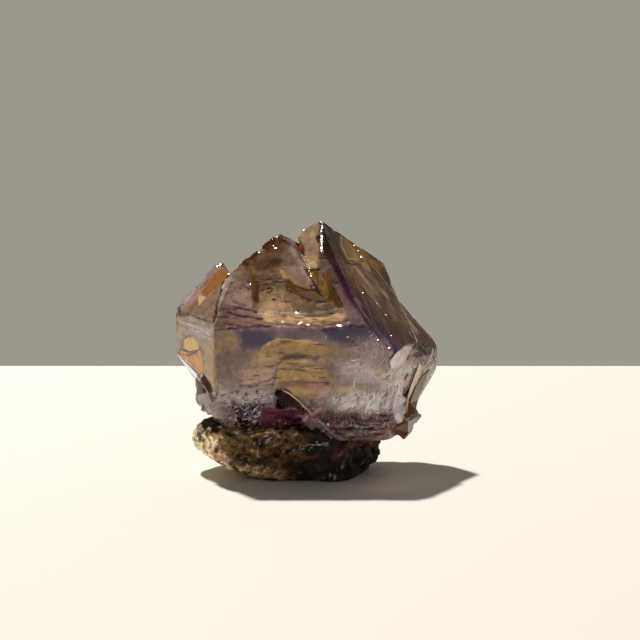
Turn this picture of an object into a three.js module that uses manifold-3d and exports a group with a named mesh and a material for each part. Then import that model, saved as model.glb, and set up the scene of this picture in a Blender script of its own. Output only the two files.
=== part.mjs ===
// Amethyst on matrix: smoky amethyst crystals, grown together side by side, on a lump of brown volcanic rock.
// Millimetres, +Z up. The origin is the middle of the footprint, on the surface that the rock stands on. The front is -Y.
import * as THREE from "three";
import { ConvexGeometry } from "three/addons/geometries/ConvexGeometry.js";
import { mergeVertices } from "three/addons/utils/BufferGeometryUtils.js";
import Module from "manifold-3d";

const wasm = await Module();
wasm.setup();

// ---- Driving dimensions, in millimetres and degrees ----

// Azimuths of a quartz crystal's six prism faces, as seen from above.
const FRONT = -90;
const RIGHT_FRONT = -30;
const RIGHT_BACK = 30;
const BACK = 90;
const LEFT_BACK = 150;
const LEFT_FRONT = -150;

const RHOMB_RISE = 38.2; // the normals of the faces at a quartz crystal's tip rise this far
const STEEP_FOOT = -49; // the crystals' lower left ends are steeper than their undersides
const FORWARD_LEAN = 5; // the crystals' common axis leans towards the front

// Points that neighbouring crystals share, and their common front face, in the growth frame.
const FRONT_REACH = 15.6;
const SUMMIT = [3, 2.8, 63];
const CLEFT_END = [2.5, -9.7, 47.1]; // where the cleft beside the summit runs out on the front
const LEFT_SHOULDER = [-22, -FRONT_REACH, 40.5];
const LEFT_FOOT = [-6.4, -FRONT_REACH, 24.5]; // the upper ends of two steep lower left edges
const RIGHT_FOOT = [1.3, -16.9, 17];
const FOOT_EDGE = [0, -FRONT_REACH, 20.5]; // the broad front face's lower edge, on the left

// The sunken window in the broad upper face, which starts at the middle of that face's lower edge.
const WINDOW_ORIGIN = [0, -FRONT_REACH, 39.6];
const WINDOW_DEPTH = 1.25;

// The small crystals around the foot.
const FRONT_DRUSE = 30;
const COLLAR_DRUSE = 26;
const NEEDLE_NARROW = 0.35; // a small crystal's narrow tip faces stand this far above its broad ones, in radii
const NEEDLE_SPREAD = 1.5; // how far the small crystals lean apart

// The rock.
const ROCK_MIDDLE = new THREE.Vector3(-3, 0.5, 7.5);
const ROCK_DETAIL = 10; // how often each edge of its first icosahedron is divided
const ROCK_SHARPNESS = 9; // higher makes its edges sharper
const ROCK_CLEARANCE = 0.3; // between the crystals and the rock that they grow on

// ---- Crystals as the space inside their face planes ----

const UP = new THREE.Vector3(0, 0, 1);
const growthFrame = new THREE.Quaternion().setFromAxisAngle(
  new THREE.Vector3(1, 0, 0),
  THREE.MathUtils.degToRad(FORWARD_LEAN),
);

// A crystal face: its outward normal points to azimuth and rises by rise, and the face passes through point.
function face(azimuth, rise, point) {
  const around = THREE.MathUtils.degToRad(azimuth);
  const up = THREE.MathUtils.degToRad(rise);
  const normal = new THREE.Vector3(
    Math.cos(up) * Math.cos(around),
    Math.cos(up) * Math.sin(around),
    Math.sin(up),
  );
  return { normal, reach: normal.dot(new THREE.Vector3(...point)) };
}

const prism = (azimuth, reach) => ({ normal: face(azimuth, 0, [0, 0, 0]).normal, reach });
const rhomb = (azimuth, point) => face(azimuth, RHOMB_RISE, point);
const underside = (azimuth, point) => face(azimuth, -RHOMB_RISE, point);
const level = (height) => ({ normal: UP.clone().negate(), reach: -height });

// Turns faces by a quaternion, then moves them.
function placed(faces, turn, move = new THREE.Vector3()) {
  return faces.map(({ normal, reach }) => {
    const turned = normal.clone().applyQuaternion(turn);
    return { normal: turned, reach: reach + turned.dot(move) };
  });
}

// The corner points of the convex body inside all the faces.
function corners(faces) {
  const found = [];
  for (let i = 0; i < faces.length; i++)
    for (let j = i + 1; j < faces.length; j++)
      for (let k = j + 1; k < faces.length; k++) {
        const [a, b, c] = [faces[i], faces[j], faces[k]];
        const bc = b.normal.clone().cross(c.normal);
        const volume = a.normal.dot(bc);
        if (Math.abs(volume) < 1e-6) continue;
        const corner = bc
          .multiplyScalar(a.reach)
          .addScaledVector(c.normal.clone().cross(a.normal), b.reach)
          .addScaledVector(a.normal.clone().cross(b.normal), c.reach)
          .divideScalar(volume);
        if (faces.every((f) => f.normal.dot(corner) < f.reach + 1e-5)) found.push(corner);
      }
  return found;
}

// Where a ray from outside first meets any of the bodies.
function meets(bodies, from, along) {
  let nearest = Infinity;
  for (const faces of bodies) {
    let enter = -Infinity;
    let leave = Infinity;
    for (const { normal, reach } of faces) {
      const closing = normal.dot(along);
      const gap = reach - normal.dot(from);
      if (closing < 0) enter = Math.max(enter, gap / closing);
      else if (closing > 0) leave = Math.min(leave, gap / closing);
      else if (gap < 0) leave = -Infinity;
    }
    if (enter < leave) nearest = Math.min(nearest, enter);
  }
  return from.clone().addScaledVector(along, nearest);
}

// ---- Between three.js geometry and closed solids ----

function solidFrom(geometry) {
  const bare = geometry.clone().deleteAttribute("normal").deleteAttribute("uv");
  const merged = mergeVertices(bare, 1e-4);
  return new wasm.Manifold(
    new wasm.Mesh({
      numProp: 3,
      vertProperties: new Float32Array(merged.attributes.position.array),
      triVerts: new Uint32Array(merged.index.array),
    }),
  );
}

function geometryFrom(solid) {
  const mesh = solid.getMesh();
  return new THREE.BufferGeometry()
    .setAttribute("position", new THREE.BufferAttribute(mesh.vertProperties, 3))
    .setIndex(new THREE.BufferAttribute(mesh.triVerts, 1));
}

// The body inside faces, each moved out by swell.
function convex(faces, swell) {
  const swollen = faces.map(({ normal, reach }) => ({ normal, reach: reach + swell }));
  return solidFrom(new ConvexGeometry(corners(swollen)));
}

// ---- The large crystals, in the growth frame, whose +Z is their common axis ----

const tip = (point, make = rhomb) =>
  [FRONT, RIGHT_FRONT, RIGHT_BACK, BACK, LEFT_BACK, LEFT_FRONT].map((azimuth) => make(azimuth, point));

const crystals = {
  summit: [
    prism(FRONT, FRONT_REACH),
    prism(RIGHT_FRONT, 24.35),
    prism(RIGHT_BACK, 22.8),
    prism(BACK, 15),
    prism(LEFT_BACK, 15),
    rhomb(FRONT, SUMMIT),
    rhomb(RIGHT_FRONT, SUMMIT),
    rhomb(RIGHT_BACK, [19.3, 12.6, 51.5]),
    rhomb(BACK, SUMMIT),
    rhomb(LEFT_BACK, [-1, 4.6, 60.3]),
    face(-135, 30, SUMMIT),
    face(LEFT_BACK, 73.5, SUMMIT),
    face(180, -15, [-2.6, 4.6, 58.4]),
    face(LEFT_FRONT, STEEP_FOOT, LEFT_FOOT),
    face(-62, -14, [21.2, -14.2, 20.5]),
    underside(FRONT, [0, -FRONT_REACH, 16]),
    level(13),
  ],
  // The middle of the front, with the sunken window.
  plate: [
    prism(FRONT, FRONT_REACH),
    prism(LEFT_BACK, 17),
    prism(BACK, 12),
    prism(RIGHT_BACK, 12),
    prism(RIGHT_FRONT, 16),
    prism(LEFT_FRONT, 26.85),
    rhomb(FRONT, SUMMIT),
    rhomb(LEFT_FRONT, LEFT_SHOULDER),
    rhomb(LEFT_BACK, [-18.2, -6.12, 51.6]),
    rhomb(BACK, [-6, 2, 59]),
    face(-8, 32, CLEFT_END),
    face(20, 62, [-5.3, -0.1, 59.2]),
    face(LEFT_FRONT, STEEP_FOOT, LEFT_FOOT),
    level(13),
  ],
  left: [
    prism(FRONT, FRONT_REACH),
    prism(LEFT_FRONT, 26.85),
    prism(LEFT_BACK, 30.65),
    prism(BACK, 12),
    prism(RIGHT_BACK, 0),
    rhomb(FRONT, SUMMIT),
    rhomb(LEFT_FRONT, LEFT_SHOULDER),
    rhomb(LEFT_BACK, [-33.2, 3.8, 40.5]),
    face(BACK, 75, [-22.6, 3.3, 51.9]),
    face(15, 8, [-20.6, 1.2, 52.7]),
    face(-160, -36, [-33.2, 2.6, 29.7]),
    underside(FRONT, FOOT_EDGE),
    level(16.5),
  ],
  leftFoot: [
    prism(FRONT, FRONT_REACH),
    prism(LEFT_FRONT, 26.85),
    prism(LEFT_BACK, 18),
    prism(BACK, 8),
    prism(RIGHT_FRONT, 1.6),
    rhomb(FRONT, [0, -FRONT_REACH, 38]),
    rhomb(BACK, [0, -4, 38]),
    rhomb(LEFT_FRONT, [-22, -FRONT_REACH, 37]),
    underside(FRONT, FOOT_EDGE),
    underside(LEFT_FRONT, [-22, -FRONT_REACH, 20]),
    level(13),
  ],
  right: [
    prism(FRONT, 8),
    prism(RIGHT_FRONT, 24.8),
    prism(RIGHT_BACK, 33.15),
    prism(BACK, 16),
    prism(LEFT_BACK, 2),
    prism(LEFT_FRONT, 6),
    rhomb(FRONT, [14, 2, 48]),
    rhomb(RIGHT_FRONT, [22.2, 8.8, 43.2]),
    rhomb(RIGHT_BACK, [22.2, 8.8, 43.2]),
    rhomb(BACK, [18, 14, 43]),
    rhomb(LEFT_BACK, [14, 4, 48]),
    rhomb(LEFT_FRONT, [14, 4, 48]),
    face(0, -43, [33.2, 8.8, 24]),
    underside(FRONT, [0, -FRONT_REACH, 16]),
    level(13),
  ],
  rightFoot: [
    prism(FRONT, 16.9),
    prism(RIGHT_FRONT, 25.2),
    prism(RIGHT_BACK, 14),
    prism(LEFT_BACK, 3),
    rhomb(FRONT, [0, -16.9, 17]),
    rhomb(RIGHT_FRONT, [20.1, -FRONT_REACH, 18]),
    rhomb(BACK, [0, -10, 22]),
    face(LEFT_FRONT, STEEP_FOOT, RIGHT_FOOT),
    level(14.8),
  ],
  rightLedge: [
    prism(FRONT, 16.2),
    prism(RIGHT_FRONT, 24.4),
    prism(RIGHT_BACK, 14),
    prism(LEFT_BACK, 3),
    rhomb(FRONT, [0, -16.2, 16]),
    rhomb(BACK, [0, -10, 20]),
    face(LEFT_FRONT, STEEP_FOOT, RIGHT_FOOT),
    level(11.9),
  ],
  // Hangs free of the rock on the right.
  pendant: [
    prism(FRONT, 12.4),
    prism(RIGHT_FRONT, 27.2),
    prism(RIGHT_BACK, 21.2),
    prism(BACK, 2),
    prism(LEFT_FRONT, -10),
    ...tip([23.3, -10.4, 10.4], underside),
    ...tip([23.5, -8.5, 21.5]),
  ],
  // Stands out below the left crystal.
  spur: [
    prism(LEFT_FRONT, 27.6),
    prism(LEFT_BACK, 19.9),
    prism(FRONT, 15.4),
    prism(BACK, 2),
    prism(RIGHT_FRONT, -8.6),
    rhomb(LEFT_FRONT, [-24.9, -9.7, 26.4]),
    rhomb(LEFT_BACK, [-26.4, -6, 26]),
    rhomb(RIGHT_FRONT, [-24.9, -9.7, 27.5]),
    underside(LEFT_FRONT, [-25.3, -9.5, 18.1]),
    underside(LEFT_BACK, [-27.5, -7, 20.5]),
    underside(FRONT, [-22, -15.4, 20]),
    level(16.2),
  ],
  rearLeft: [
    prism(FRONT, 4),
    prism(LEFT_FRONT, 20),
    prism(LEFT_BACK, 26.5),
    prism(BACK, 18.5),
    prism(RIGHT_BACK, 4),
    prism(RIGHT_FRONT, -3),
    rhomb(LEFT_FRONT, [-14, 9, 50]),
    rhomb(BACK, [-14, 9, 50]),
    rhomb(RIGHT_FRONT, [-14, 9, 50]),
    rhomb(LEFT_BACK, [-20, 12, 44]),
    rhomb(RIGHT_BACK, [-10, 12, 47]),
    underside(LEFT_BACK, [-23, 13, 24]),
    underside(BACK, [-14, 18.5, 20]),
    level(12),
  ],
  rearMiddle: [
    prism(FRONT, 0),
    prism(RIGHT_FRONT, 4),
    prism(RIGHT_BACK, 12),
    prism(BACK, 17),
    prism(LEFT_BACK, 12),
    prism(LEFT_FRONT, 4),
    rhomb(FRONT, [0.5, 11, 39]),
    rhomb(RIGHT_BACK, [0.5, 11, 39]),
    rhomb(LEFT_BACK, [0.5, 11, 39]),
    rhomb(BACK, [0, 13, 37.5]),
    underside(BACK, [0, 17, 18]),
    level(12),
  ],
  rearRight: [
    prism(FRONT, 4),
    prism(RIGHT_FRONT, 22),
    prism(RIGHT_BACK, 25.5),
    prism(BACK, 19.5),
    prism(LEFT_BACK, 4),
    prism(LEFT_FRONT, 0),
    rhomb(BACK, [9, 13, 48]),
    rhomb(RIGHT_FRONT, [9, 13, 48]),
    rhomb(LEFT_FRONT, [9, 13, 48]),
    rhomb(RIGHT_BACK, [15, 14, 44]),
    rhomb(LEFT_BACK, [6, 14, 46]),
    underside(RIGHT_BACK, [22, 13, 22]),
    underside(BACK, [10, 19.5, 19]),
    level(12),
  ],
};

// ---- Small crystals, seated on the large ones around the foot ----

// A number from 0 to 1 that looks random, the same for the same seed.
function scatter(seed) {
  const wave = Math.sin(seed * 12.9898) * 43758.5453;
  return wave - Math.floor(wave);
}

// A small crystal along axis, from its tip back, with three broad faces at the tip and three narrow ones.
function needle(point, axis, radius, length) {
  const faces = [level(-length)];
  for (let side = 0; side < 6; side++) {
    const azimuth = 60 * side;
    faces.push(prism(azimuth, radius));
    faces.push(rhomb(azimuth, [0, 0, (side % 2) * NEEDLE_NARROW * radius]));
  }
  return placed(faces, new THREE.Quaternion().setFromUnitVectors(UP, axis), point);
}

// Needles where rays meet the large crystals: seat(i) gives a ray and the range of radii.
function druse(count, seed, seat) {
  const needles = [];
  for (let i = 0; i < count; i++) {
    const { from, along, thin, thick } = seat(i);
    const foot = meets(Object.values(crystals), from, along);
    if (!Number.isFinite(foot.x)) continue;
    const lean = new THREE.Vector3(...[1, 2, 3].map((k) => scatter(seed + i + k / 7) - 0.5));
    const axis = along.clone().negate().addScaledVector(lean, NEEDLE_SPREAD).normalize();
    const radius = THREE.MathUtils.lerp(thin, thick, scatter(seed + i + 0.9) ** 2);
    needles.push(needle(foot.addScaledVector(axis, 1.1 * radius), axis, radius, 4 * radius + 1));
  }
  return needles;
}

const frontDruse = druse(FRONT_DRUSE, 3, (i) => ({
  from: new THREE.Vector3(
    THREE.MathUtils.lerp(-20.5, 20, (i + scatter(i + 0.2)) / FRONT_DRUSE),
    -40,
    THREE.MathUtils.lerp(15.2, 20.6, scatter(i + 0.4)),
  ),
  along: new THREE.Vector3(0, 1, 0),
  thin: 0.45,
  thick: 1.4,
}));

// From the right side, round the back, to the left side.
const collarDruse = druse(COLLAR_DRUSE, 71, (i) => {
  const share = (i + scatter(i + 5.2)) / COLLAR_DRUSE;
  const around = THREE.MathUtils.degToRad(THREE.MathUtils.lerp(-25, 205, share));
  const out = new THREE.Vector3(Math.cos(around), Math.sin(around), 0);
  return {
    from: out.clone().multiplyScalar(60).setZ(THREE.MathUtils.lerp(14.2, 19, scatter(i + 5.4))),
    along: out.negate(),
    thin: 0.7,
    thick: 2.2,
  };
});

function clusterSolid(swell) {
  return [...Object.values(crystals), ...frontDruse, ...collarDruse]
    .map((faces) => convex(placed(faces, growthFrame), swell))
    .reduce((all, crystal) => all.add(crystal));
}

// ---- The sunken window, as outlines across and up its face ----

const windowFloor = [
  [-11.9, 12],
  [-11.6, 7.4],
  [-10.6, 4.9],
  [-7.6, 3.8],
  [4.2, 4.1],
  [7.4, 4.7],
  [5.4, 8],
  [4.4, 6.9],
  [0.6, 8.2],
  [-3, 9.8],
  [-4.7, 12.3],
  [-9, 12],
];
const windowRim = [
  [-13.5, 12.5],
  [-13.1, 7.3],
  [-12.2, 3.2],
  [-8.4, 0.9],
  [4.6, 0.9],
  [9.8, 1.8],
  [6.4, 12],
  [4.7, 7.3],
  [0.9, 8.6],
  [-2.7, 10.2],
  [-4.5, 12.7],
  [-9, 12.5],
];

// A closed body between two outlines with as many points each, the first at low and the second at high along +Z.
function loft(lowOutline, low, highOutline, high) {
  const count = lowOutline.length;
  const points = [
    ...lowOutline.map(([x, y]) => new THREE.Vector3(x, y, low)),
    ...highOutline.map(([x, y]) => new THREE.Vector3(x, y, high)),
  ];
  const triangles = [];
  for (let i = 0; i < count; i++) {
    const next = (i + 1) % count;
    triangles.push(i, next, count + next);
    triangles.push(i, count + next, count + i);
  }
  const cap = (outline) =>
    THREE.ShapeUtils.triangulateShape(
      outline.map(([x, y]) => new THREE.Vector2(x, y)),
      [],
    );
  for (const [a, b, c] of cap(lowOutline)) triangles.push(a, c, b);
  for (const [a, b, c] of cap(highOutline)) triangles.push(count + a, count + b, count + c);
  return new THREE.BufferGeometry().setFromPoints(points).setIndex(triangles);
}

// The space to cut away: from the floor out through the rim, and as far again beyond it.
function sunkenWindow() {
  const beyond = windowRim.map(([x, y], i) => [2 * x - windowFloor[i][0], 2 * y - windowFloor[i][1]]);
  const rise = THREE.MathUtils.degToRad(RHOMB_RISE);
  const onFace = new THREE.Matrix4()
    .makeBasis(
      new THREE.Vector3(1, 0, 0),
      new THREE.Vector3(0, Math.sin(rise), Math.cos(rise)),
      new THREE.Vector3(0, -Math.cos(rise), Math.sin(rise)),
    )
    .setPosition(...WINDOW_ORIGIN);
  const space = loft(windowFloor, -WINDOW_DEPTH, beyond, WINDOW_DEPTH);
  return solidFrom(space.applyMatrix4(onFace).applyQuaternion(growthFrame));
}

// ---- The rock ----

// Its rounded outside follows these planes, at these distances from its middle.
const rockPlanes = [
  { towards: [0, 0, -1], reach: 10 },
  { towards: [0, 0, 1], reach: 6.2 },
  { towards: [0.85, 0, -0.52], reach: 20.8 },
  { towards: [-0.28, 0, -0.96], reach: 9.7 },
  { towards: [-0.78, 0, -0.63], reach: 21.6 },
  { towards: [-0.5, 0, 0.87], reach: 20.3 },
  { towards: [-1, 0.1, 0.1], reach: 28 },
  { towards: [0, -1, 0.1], reach: 17.6 },
  { towards: [0, -0.85, -0.53], reach: 16.2 },
  { towards: [0, 0.95, -0.3], reach: 16.5 },
  { towards: [-0.7, 0.7, 0], reach: 20 },
  { towards: [0.7, 0.7, 0.1], reach: 18 },
  { towards: [-0.7, -0.7, 0], reach: 23.5 },
  { towards: [0.75, -0.65, 0], reach: 18.5 },
].map(({ towards, reach }) => ({ towards: new THREE.Vector3(...towards).normalize(), reach }));

// Smooth noise from -1 to 1 with lumps about size across.
function noise(point, size, shift = 0) {
  const scaled = point.clone().divideScalar(size).addScalar(shift);
  const cell = scaled.clone().floor();
  const eased = scaled.sub(cell).toArray().map((t) => t * t * (3 - 2 * t));
  let sum = 0;
  for (let corner = 0; corner < 8; corner++) {
    const step = [corner & 1, (corner >> 1) & 1, (corner >> 2) & 1];
    const [x, y, z] = step.map((s, i) => cell.getComponent(i) + s);
    const weight = step.reduce((w, s, i) => w * (s ? eased[i] : 1 - eased[i]), 1);
    sum += weight * scatter(x + 57 * y + 113 * z);
  }
  return 2 * sum - 1;
}

function rockSurface(direction) {
  const pull = rockPlanes.reduce(
    (sum, plane) => sum + Math.max(0, plane.towards.dot(direction) / plane.reach) ** ROCK_SHARPNESS,
    0,
  );
  const point = direction.clone().multiplyScalar(pull ** (-1 / ROCK_SHARPNESS)).add(ROCK_MIDDLE);
  const lumps = 1.3 * noise(point, 7) + 0.7 * noise(point, 3);
  const pits = 2.2 * Math.max(0, noise(point, 4, 31) - 0.35);
  return point.addScaledVector(direction, lumps - pits);
}

function rockSolid() {
  const ball = new THREE.IcosahedronGeometry(1, ROCK_DETAIL);
  const spots = ball.attributes.position;
  for (let i = 0; i < spots.count; i++) {
    const surface = rockSurface(new THREE.Vector3().fromBufferAttribute(spots, i).normalize());
    spots.setXYZ(i, surface.x, surface.y, surface.z);
  }
  const ground = new THREE.BoxGeometry(200, 200, 50).translate(0, 0, -25);
  return solidFrom(ball).subtract(solidFrom(ground)).subtract(clusterSolid(ROCK_CLEARANCE));
}

// ---- The scene graph ----

const object = new THREE.Group();

function add(name, solid, colour, roughness) {
  const material = new THREE.MeshStandardMaterial({ color: colour, roughness, metalness: 0 });
  const mesh = new THREE.Mesh(geometryFrom(solid), material);
  mesh.name = name;
  object.add(mesh);
}

add("crystal_cluster", clusterSolid(0).subtract(sunkenWindow()), "#a08a90", 0.1);
add("basalt_matrix", rockSolid(), "#5a4433", 0.9);

const middle = new THREE.Box3().setFromObject(object).getCenter(new THREE.Vector3());
object.position.set(-middle.x, -middle.y, 0);

export default object;
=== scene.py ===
"""Amethyst on matrix: smoky amethyst crystals on a lump of brown basalt, on a pale table.

The sizes in the settings are metres, as everywhere in Blender. Points and distances that describe the
object itself are millimetres, and those in the crystals' growth frame are (across, deep, high), where
high runs along the crystals' common axis. Marks that face the front are placed by where they lie in the
camera's picture, which is 640 x 640 pixels.
"""

import itertools
import math

import bmesh
import bpy
import numpy as np
from bpy.props import FloatProperty, FloatVectorProperty, IntProperty, PointerProperty
from mathutils import Euler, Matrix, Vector
from mathutils.bvhtree import BVHTree
from mathutils.geometry import tessellate_polygon
from mathutils.kdtree import KDTree


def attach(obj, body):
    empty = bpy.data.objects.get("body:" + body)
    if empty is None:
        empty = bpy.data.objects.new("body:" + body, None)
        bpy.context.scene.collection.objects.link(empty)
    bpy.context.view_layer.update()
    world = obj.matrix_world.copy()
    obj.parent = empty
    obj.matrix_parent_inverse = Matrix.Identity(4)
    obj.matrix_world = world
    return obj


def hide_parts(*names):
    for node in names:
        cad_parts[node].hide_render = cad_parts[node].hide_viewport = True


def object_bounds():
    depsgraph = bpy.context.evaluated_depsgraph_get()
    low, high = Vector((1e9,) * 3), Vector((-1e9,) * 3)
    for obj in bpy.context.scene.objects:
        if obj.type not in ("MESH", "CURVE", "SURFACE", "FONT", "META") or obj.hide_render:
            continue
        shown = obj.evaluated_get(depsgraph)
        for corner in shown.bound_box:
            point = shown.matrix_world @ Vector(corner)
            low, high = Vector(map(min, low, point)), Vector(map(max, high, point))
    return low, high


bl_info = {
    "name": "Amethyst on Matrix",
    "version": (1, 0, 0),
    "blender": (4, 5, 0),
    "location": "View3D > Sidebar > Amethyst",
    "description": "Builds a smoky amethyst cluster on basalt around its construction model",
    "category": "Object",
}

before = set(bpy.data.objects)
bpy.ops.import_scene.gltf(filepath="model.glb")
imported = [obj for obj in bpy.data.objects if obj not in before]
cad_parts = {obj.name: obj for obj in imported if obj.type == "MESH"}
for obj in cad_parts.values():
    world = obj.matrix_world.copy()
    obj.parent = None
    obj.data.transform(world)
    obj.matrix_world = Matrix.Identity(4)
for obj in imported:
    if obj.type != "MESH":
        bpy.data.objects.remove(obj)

CAD_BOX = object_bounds()

MM = 0.001
TO_LIGHT = Vector((-0.29, 0.38, 1.0)).normalized()  # the way to the key light
FRAME_WIDTH = 640  # pixels of the camera's picture, each way
SENSOR_WIDTH = 36  # of the camera, in millimetres
FORWARD_LEAN = math.radians(5)  # of the crystals' common axis, towards the front
RHOMB_RISE = math.radians(38.2)  # of the normals of the faces at a quartz crystal's tip
QUARTZ_IOR = 1.544
PALEST = 0.95  # the brightest that a tint may be
TINT_GAIN, TINT_POWER = 2.2, 1.25  # from how stained quartz looks to how deeply it is tinted
BOX_MARGIN = 0.1  # how far small pieces stay inside the construction model's box, in millimetres
EVERYWHERE = slice(None)


def linear(code):
    """The linear colour of an sRGB hex code."""
    channels = [int(code[i : i + 2], 16) / 255 for i in (1, 3, 5)]
    return tuple(c / 12.92 if c <= 0.04045 else ((c + 0.055) / 1.055) ** 2.4 for c in channels)


def colour_setting(name, description, code):
    """A colour in the settings, from an sRGB hex code."""
    return FloatVectorProperty(
        name=name, description=description, subtype="COLOR", size=3, min=0, max=1, default=linear(code)
    )


def length_setting(name, description, millimetres):
    """A length in the settings, from millimetres."""
    return FloatProperty(name=name, description=description, unit="LENGTH", default=millimetres * MM)


# ---- Settings ----


class StageSettings(bpy.types.PropertyGroup):
    """The camera, the table and the lights"""

    camera_place: FloatVectorProperty(
        name="Camera place",
        description="Where the camera stands",
        subtype="TRANSLATION",
        default=(2.87 * MM, -309.86 * MM, 65.0 * MM),
    )
    camera_pitch: FloatProperty(
        name="Camera pitch",
        description="How far the camera looks down",
        subtype="ANGLE",
        default=math.radians(5),
    )
    camera_lens: FloatProperty(
        name="Lens", description="Focal length on a 36 mm sensor, in millimetres", default=70.1
    )
    table_end: length_setting("Table end", "How far behind the object the table ends", 211)
    table_reach: length_setting("Table reach", "How far the table goes to the front and the sides", 1500)
    table_colour: colour_setting("Table", "Colour of the pale table top", "#dad8d3")
    wall_colour: colour_setting("Wall light", "Colour of the light from behind", "#9c988d")
    room_colour: colour_setting("Room light", "Colour of the light from the front", "#6e6b66")
    key_colour: colour_setting("Key light", "Colour of the soft key light", "#fff8f0")
    key_power: FloatProperty(name="Key power", description="Power of the key light, in watts", default=57.0)
    key_size: length_setting("Key size", "Width of the soft key light", 120)
    key_distance: length_setting("Key distance", "How far off the key light stands", 2000)
    key_aim: length_setting("Key aim", "Height of the spot that the key light faces", 30)


class CrystalSettings(bpy.types.PropertyGroup):
    """The large crystals and their quartz"""

    grain: length_setting("Mesh size", "Edge length of the crystals' fine mesh", 0.37)
    striation: length_setting("Striations", "Depth of the growth lines", 0.07)
    tip_grooves: length_setting("Tip grooves", "Depth of the grooves on the right-hand tip face", 0.16)
    chips: length_setting("Chips", "Depth of the chips along the edges", 0.6)
    smoke: colour_setting("Smoke", "Tint that deep quartz gives the light", "#c4aaa0")
    smoke_density: FloatProperty(
        name="Smoke density", description="Absorption for each metre of quartz", default=22.0
    )
    clear_colour: colour_setting("Clear quartz", "Colour of the clear, smoky lilac quartz", "#e0d4d2")
    silk: colour_setting("Silk", "Colour of the fibres in healed cracks", "#f9f3f2")


class RockSettings(bpy.types.PropertyGroup):
    """The rock"""

    grain: length_setting("Mesh size", "Edge length of the rock's fine mesh", 0.36)
    roughness: length_setting("Unevenness", "Height of the broken surface's lumps", 1.0)
    pits: length_setting("Pits", "Depth of the pits where gas was caught", 0.9)
    body_colour: colour_setting("Basalt", "Colour of the weathered basalt", "#26190d")


class SmallSettings(bpy.types.PropertyGroup):
    """The small crystals, the flakes and the plates"""

    druse_count: IntProperty(name="Druse crystals", description="How many small crystals", default=420)
    plate_depth: length_setting("Plate depth", "How deep the plates are sunk in the crystals", 1.3)
    sliver_depth: length_setting("Sliver depth", "How deep the slivers are sunk in the crystals", 0.5)
    highest: length_setting("Highest lift", "How far plates and slivers may stand off the crystals", 0.6)
    flake_depth: length_setting("Flake thickness", "Thickness of the flakes that catch the light", 0.12)


# ---- Numbers and noise ----


# A turn that keeps the cells of even noise off the object's own axes.
NOISE_TURN = np.array(Euler((0.7, 0.4, 1.1)).to_matrix())


def noise(points, size, seed=0.0):
    """Smooth noise from -1 to 1 at each point. size is the lumps' width, or one width for each axis.
    Wherever noise is used, its own seed keeps it apart from the others."""
    if np.ndim(size) == 0:
        points = points @ NOISE_TURN
    scaled = points / np.asarray(size, float) + 7.31 * seed
    cell = np.floor(scaled)
    along = scaled - cell
    eased = along * along * (3 - 2 * along)
    total = 0.0
    for corner in itertools.product((0, 1), repeat=3):
        mixed = np.sin((cell + corner) @ (12.9898, 78.233, 37.719)) * 43758.5453
        weight = np.prod(np.where(corner, eased, 1 - eased), axis=1)
        total = total + weight * (mixed - np.floor(mixed))
    return 2 * total - 1


def rough_noise(points, size, seed=0.0):
    """Noise with finer noise on it, from about -1 to 1."""
    return (
        0.55 * noise(points, size, seed)
        + 0.3 * noise(points, np.asarray(size) / 2.1, seed + 3)
        + 0.15 * noise(points, np.asarray(size) / 4.3, seed + 7)
    )


def ramp(value, low, high):
    """0 at low, 1 at high, smooth between them."""
    share = np.clip((value - low) / (high - low), 0, 1)
    return share * share * (3 - 2 * share)


def unit(direction):
    """The direction with a length of 1."""
    return direction / np.linalg.norm(direction)


# ---- The camera's picture ----


def picture_scale():
    """Pixels for each unit of a sight line's slope."""
    return FRAME_WIDTH * bpy.context.scene.stage_settings.camera_lens / SENSOR_WIDTH


def in_picture(points):
    """Where points (in millimetres) lie in the camera's picture, in pixels."""
    stage = bpy.context.scene.stage_settings
    offset = points - np.array(stage.camera_place) / MM
    pitch = stage.camera_pitch
    ahead = offset @ (0, math.cos(pitch), -math.sin(pitch))
    up = offset @ (0, math.sin(pitch), math.cos(pitch))
    return np.stack([offset[:, 0], -up], axis=1) / ahead[:, None] * picture_scale() + FRAME_WIDTH / 2


def picture_ray(across, down):
    """The direction in which the camera sees a pixel."""
    x = (across - FRAME_WIDTH / 2) / picture_scale()
    y = (FRAME_WIDTH / 2 - down) / picture_scale()
    pitch = bpy.context.scene.stage_settings.camera_pitch
    ahead, up = math.cos(pitch) + y * math.sin(pitch), y * math.cos(pitch) - math.sin(pitch)
    return Vector((x, ahead, up)).normalized()


def from_line(pixels, line):
    """Each pixel's distance from an open line."""
    nearest = np.full(len(pixels), 1e9)
    for start, end in zip(line, line[1:]):
        start, along = np.array(start, float), np.subtract(end, start).astype(float)
        share = np.clip((pixels - start) @ along / max(along @ along, 1e-9), 0, 1)
        nearest = np.minimum(nearest, np.linalg.norm(pixels - start - share[:, None] * along, axis=1))
    return nearest


def within(pixels, outline):
    """How far each pixel lies inside a closed outline, below 0 outside it."""
    inside = np.zeros(len(pixels), bool)
    for (x0, y0), (x1, y1) in zip(outline, outline[1:] + outline[:1]):
        spans = (y0 > pixels[:, 1]) != (y1 > pixels[:, 1])
        with np.errstate(divide="ignore", invalid="ignore"):
            crossing = x0 + (pixels[:, 1] - y0) * (x1 - x0) / (y1 - y0)
        inside ^= spans & (pixels[:, 0] < crossing)
    distance = from_line(pixels, outline + outline[:1])
    return np.where(inside, distance, -distance)


def near_outline(pixels, outline, margin):
    """Which pixels lie in an outline's box, with a margin round it."""
    low, high = np.min(outline, axis=0) - margin, np.max(outline, axis=0) + margin
    return np.flatnonzero(np.all((pixels > low) & (pixels < high), axis=1))


def unsteady(points, pixels, reach, seed):
    """Pixels moved about by up to reach, so that what is drawn with them gets an uneven rim."""
    shift = [rough_noise(points, 2.6, seed + k) + 0.4 * noise(points, 0.9, seed + 4 + k) for k in (0, 1)]
    return pixels + reach * np.stack(shift, axis=1)


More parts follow.
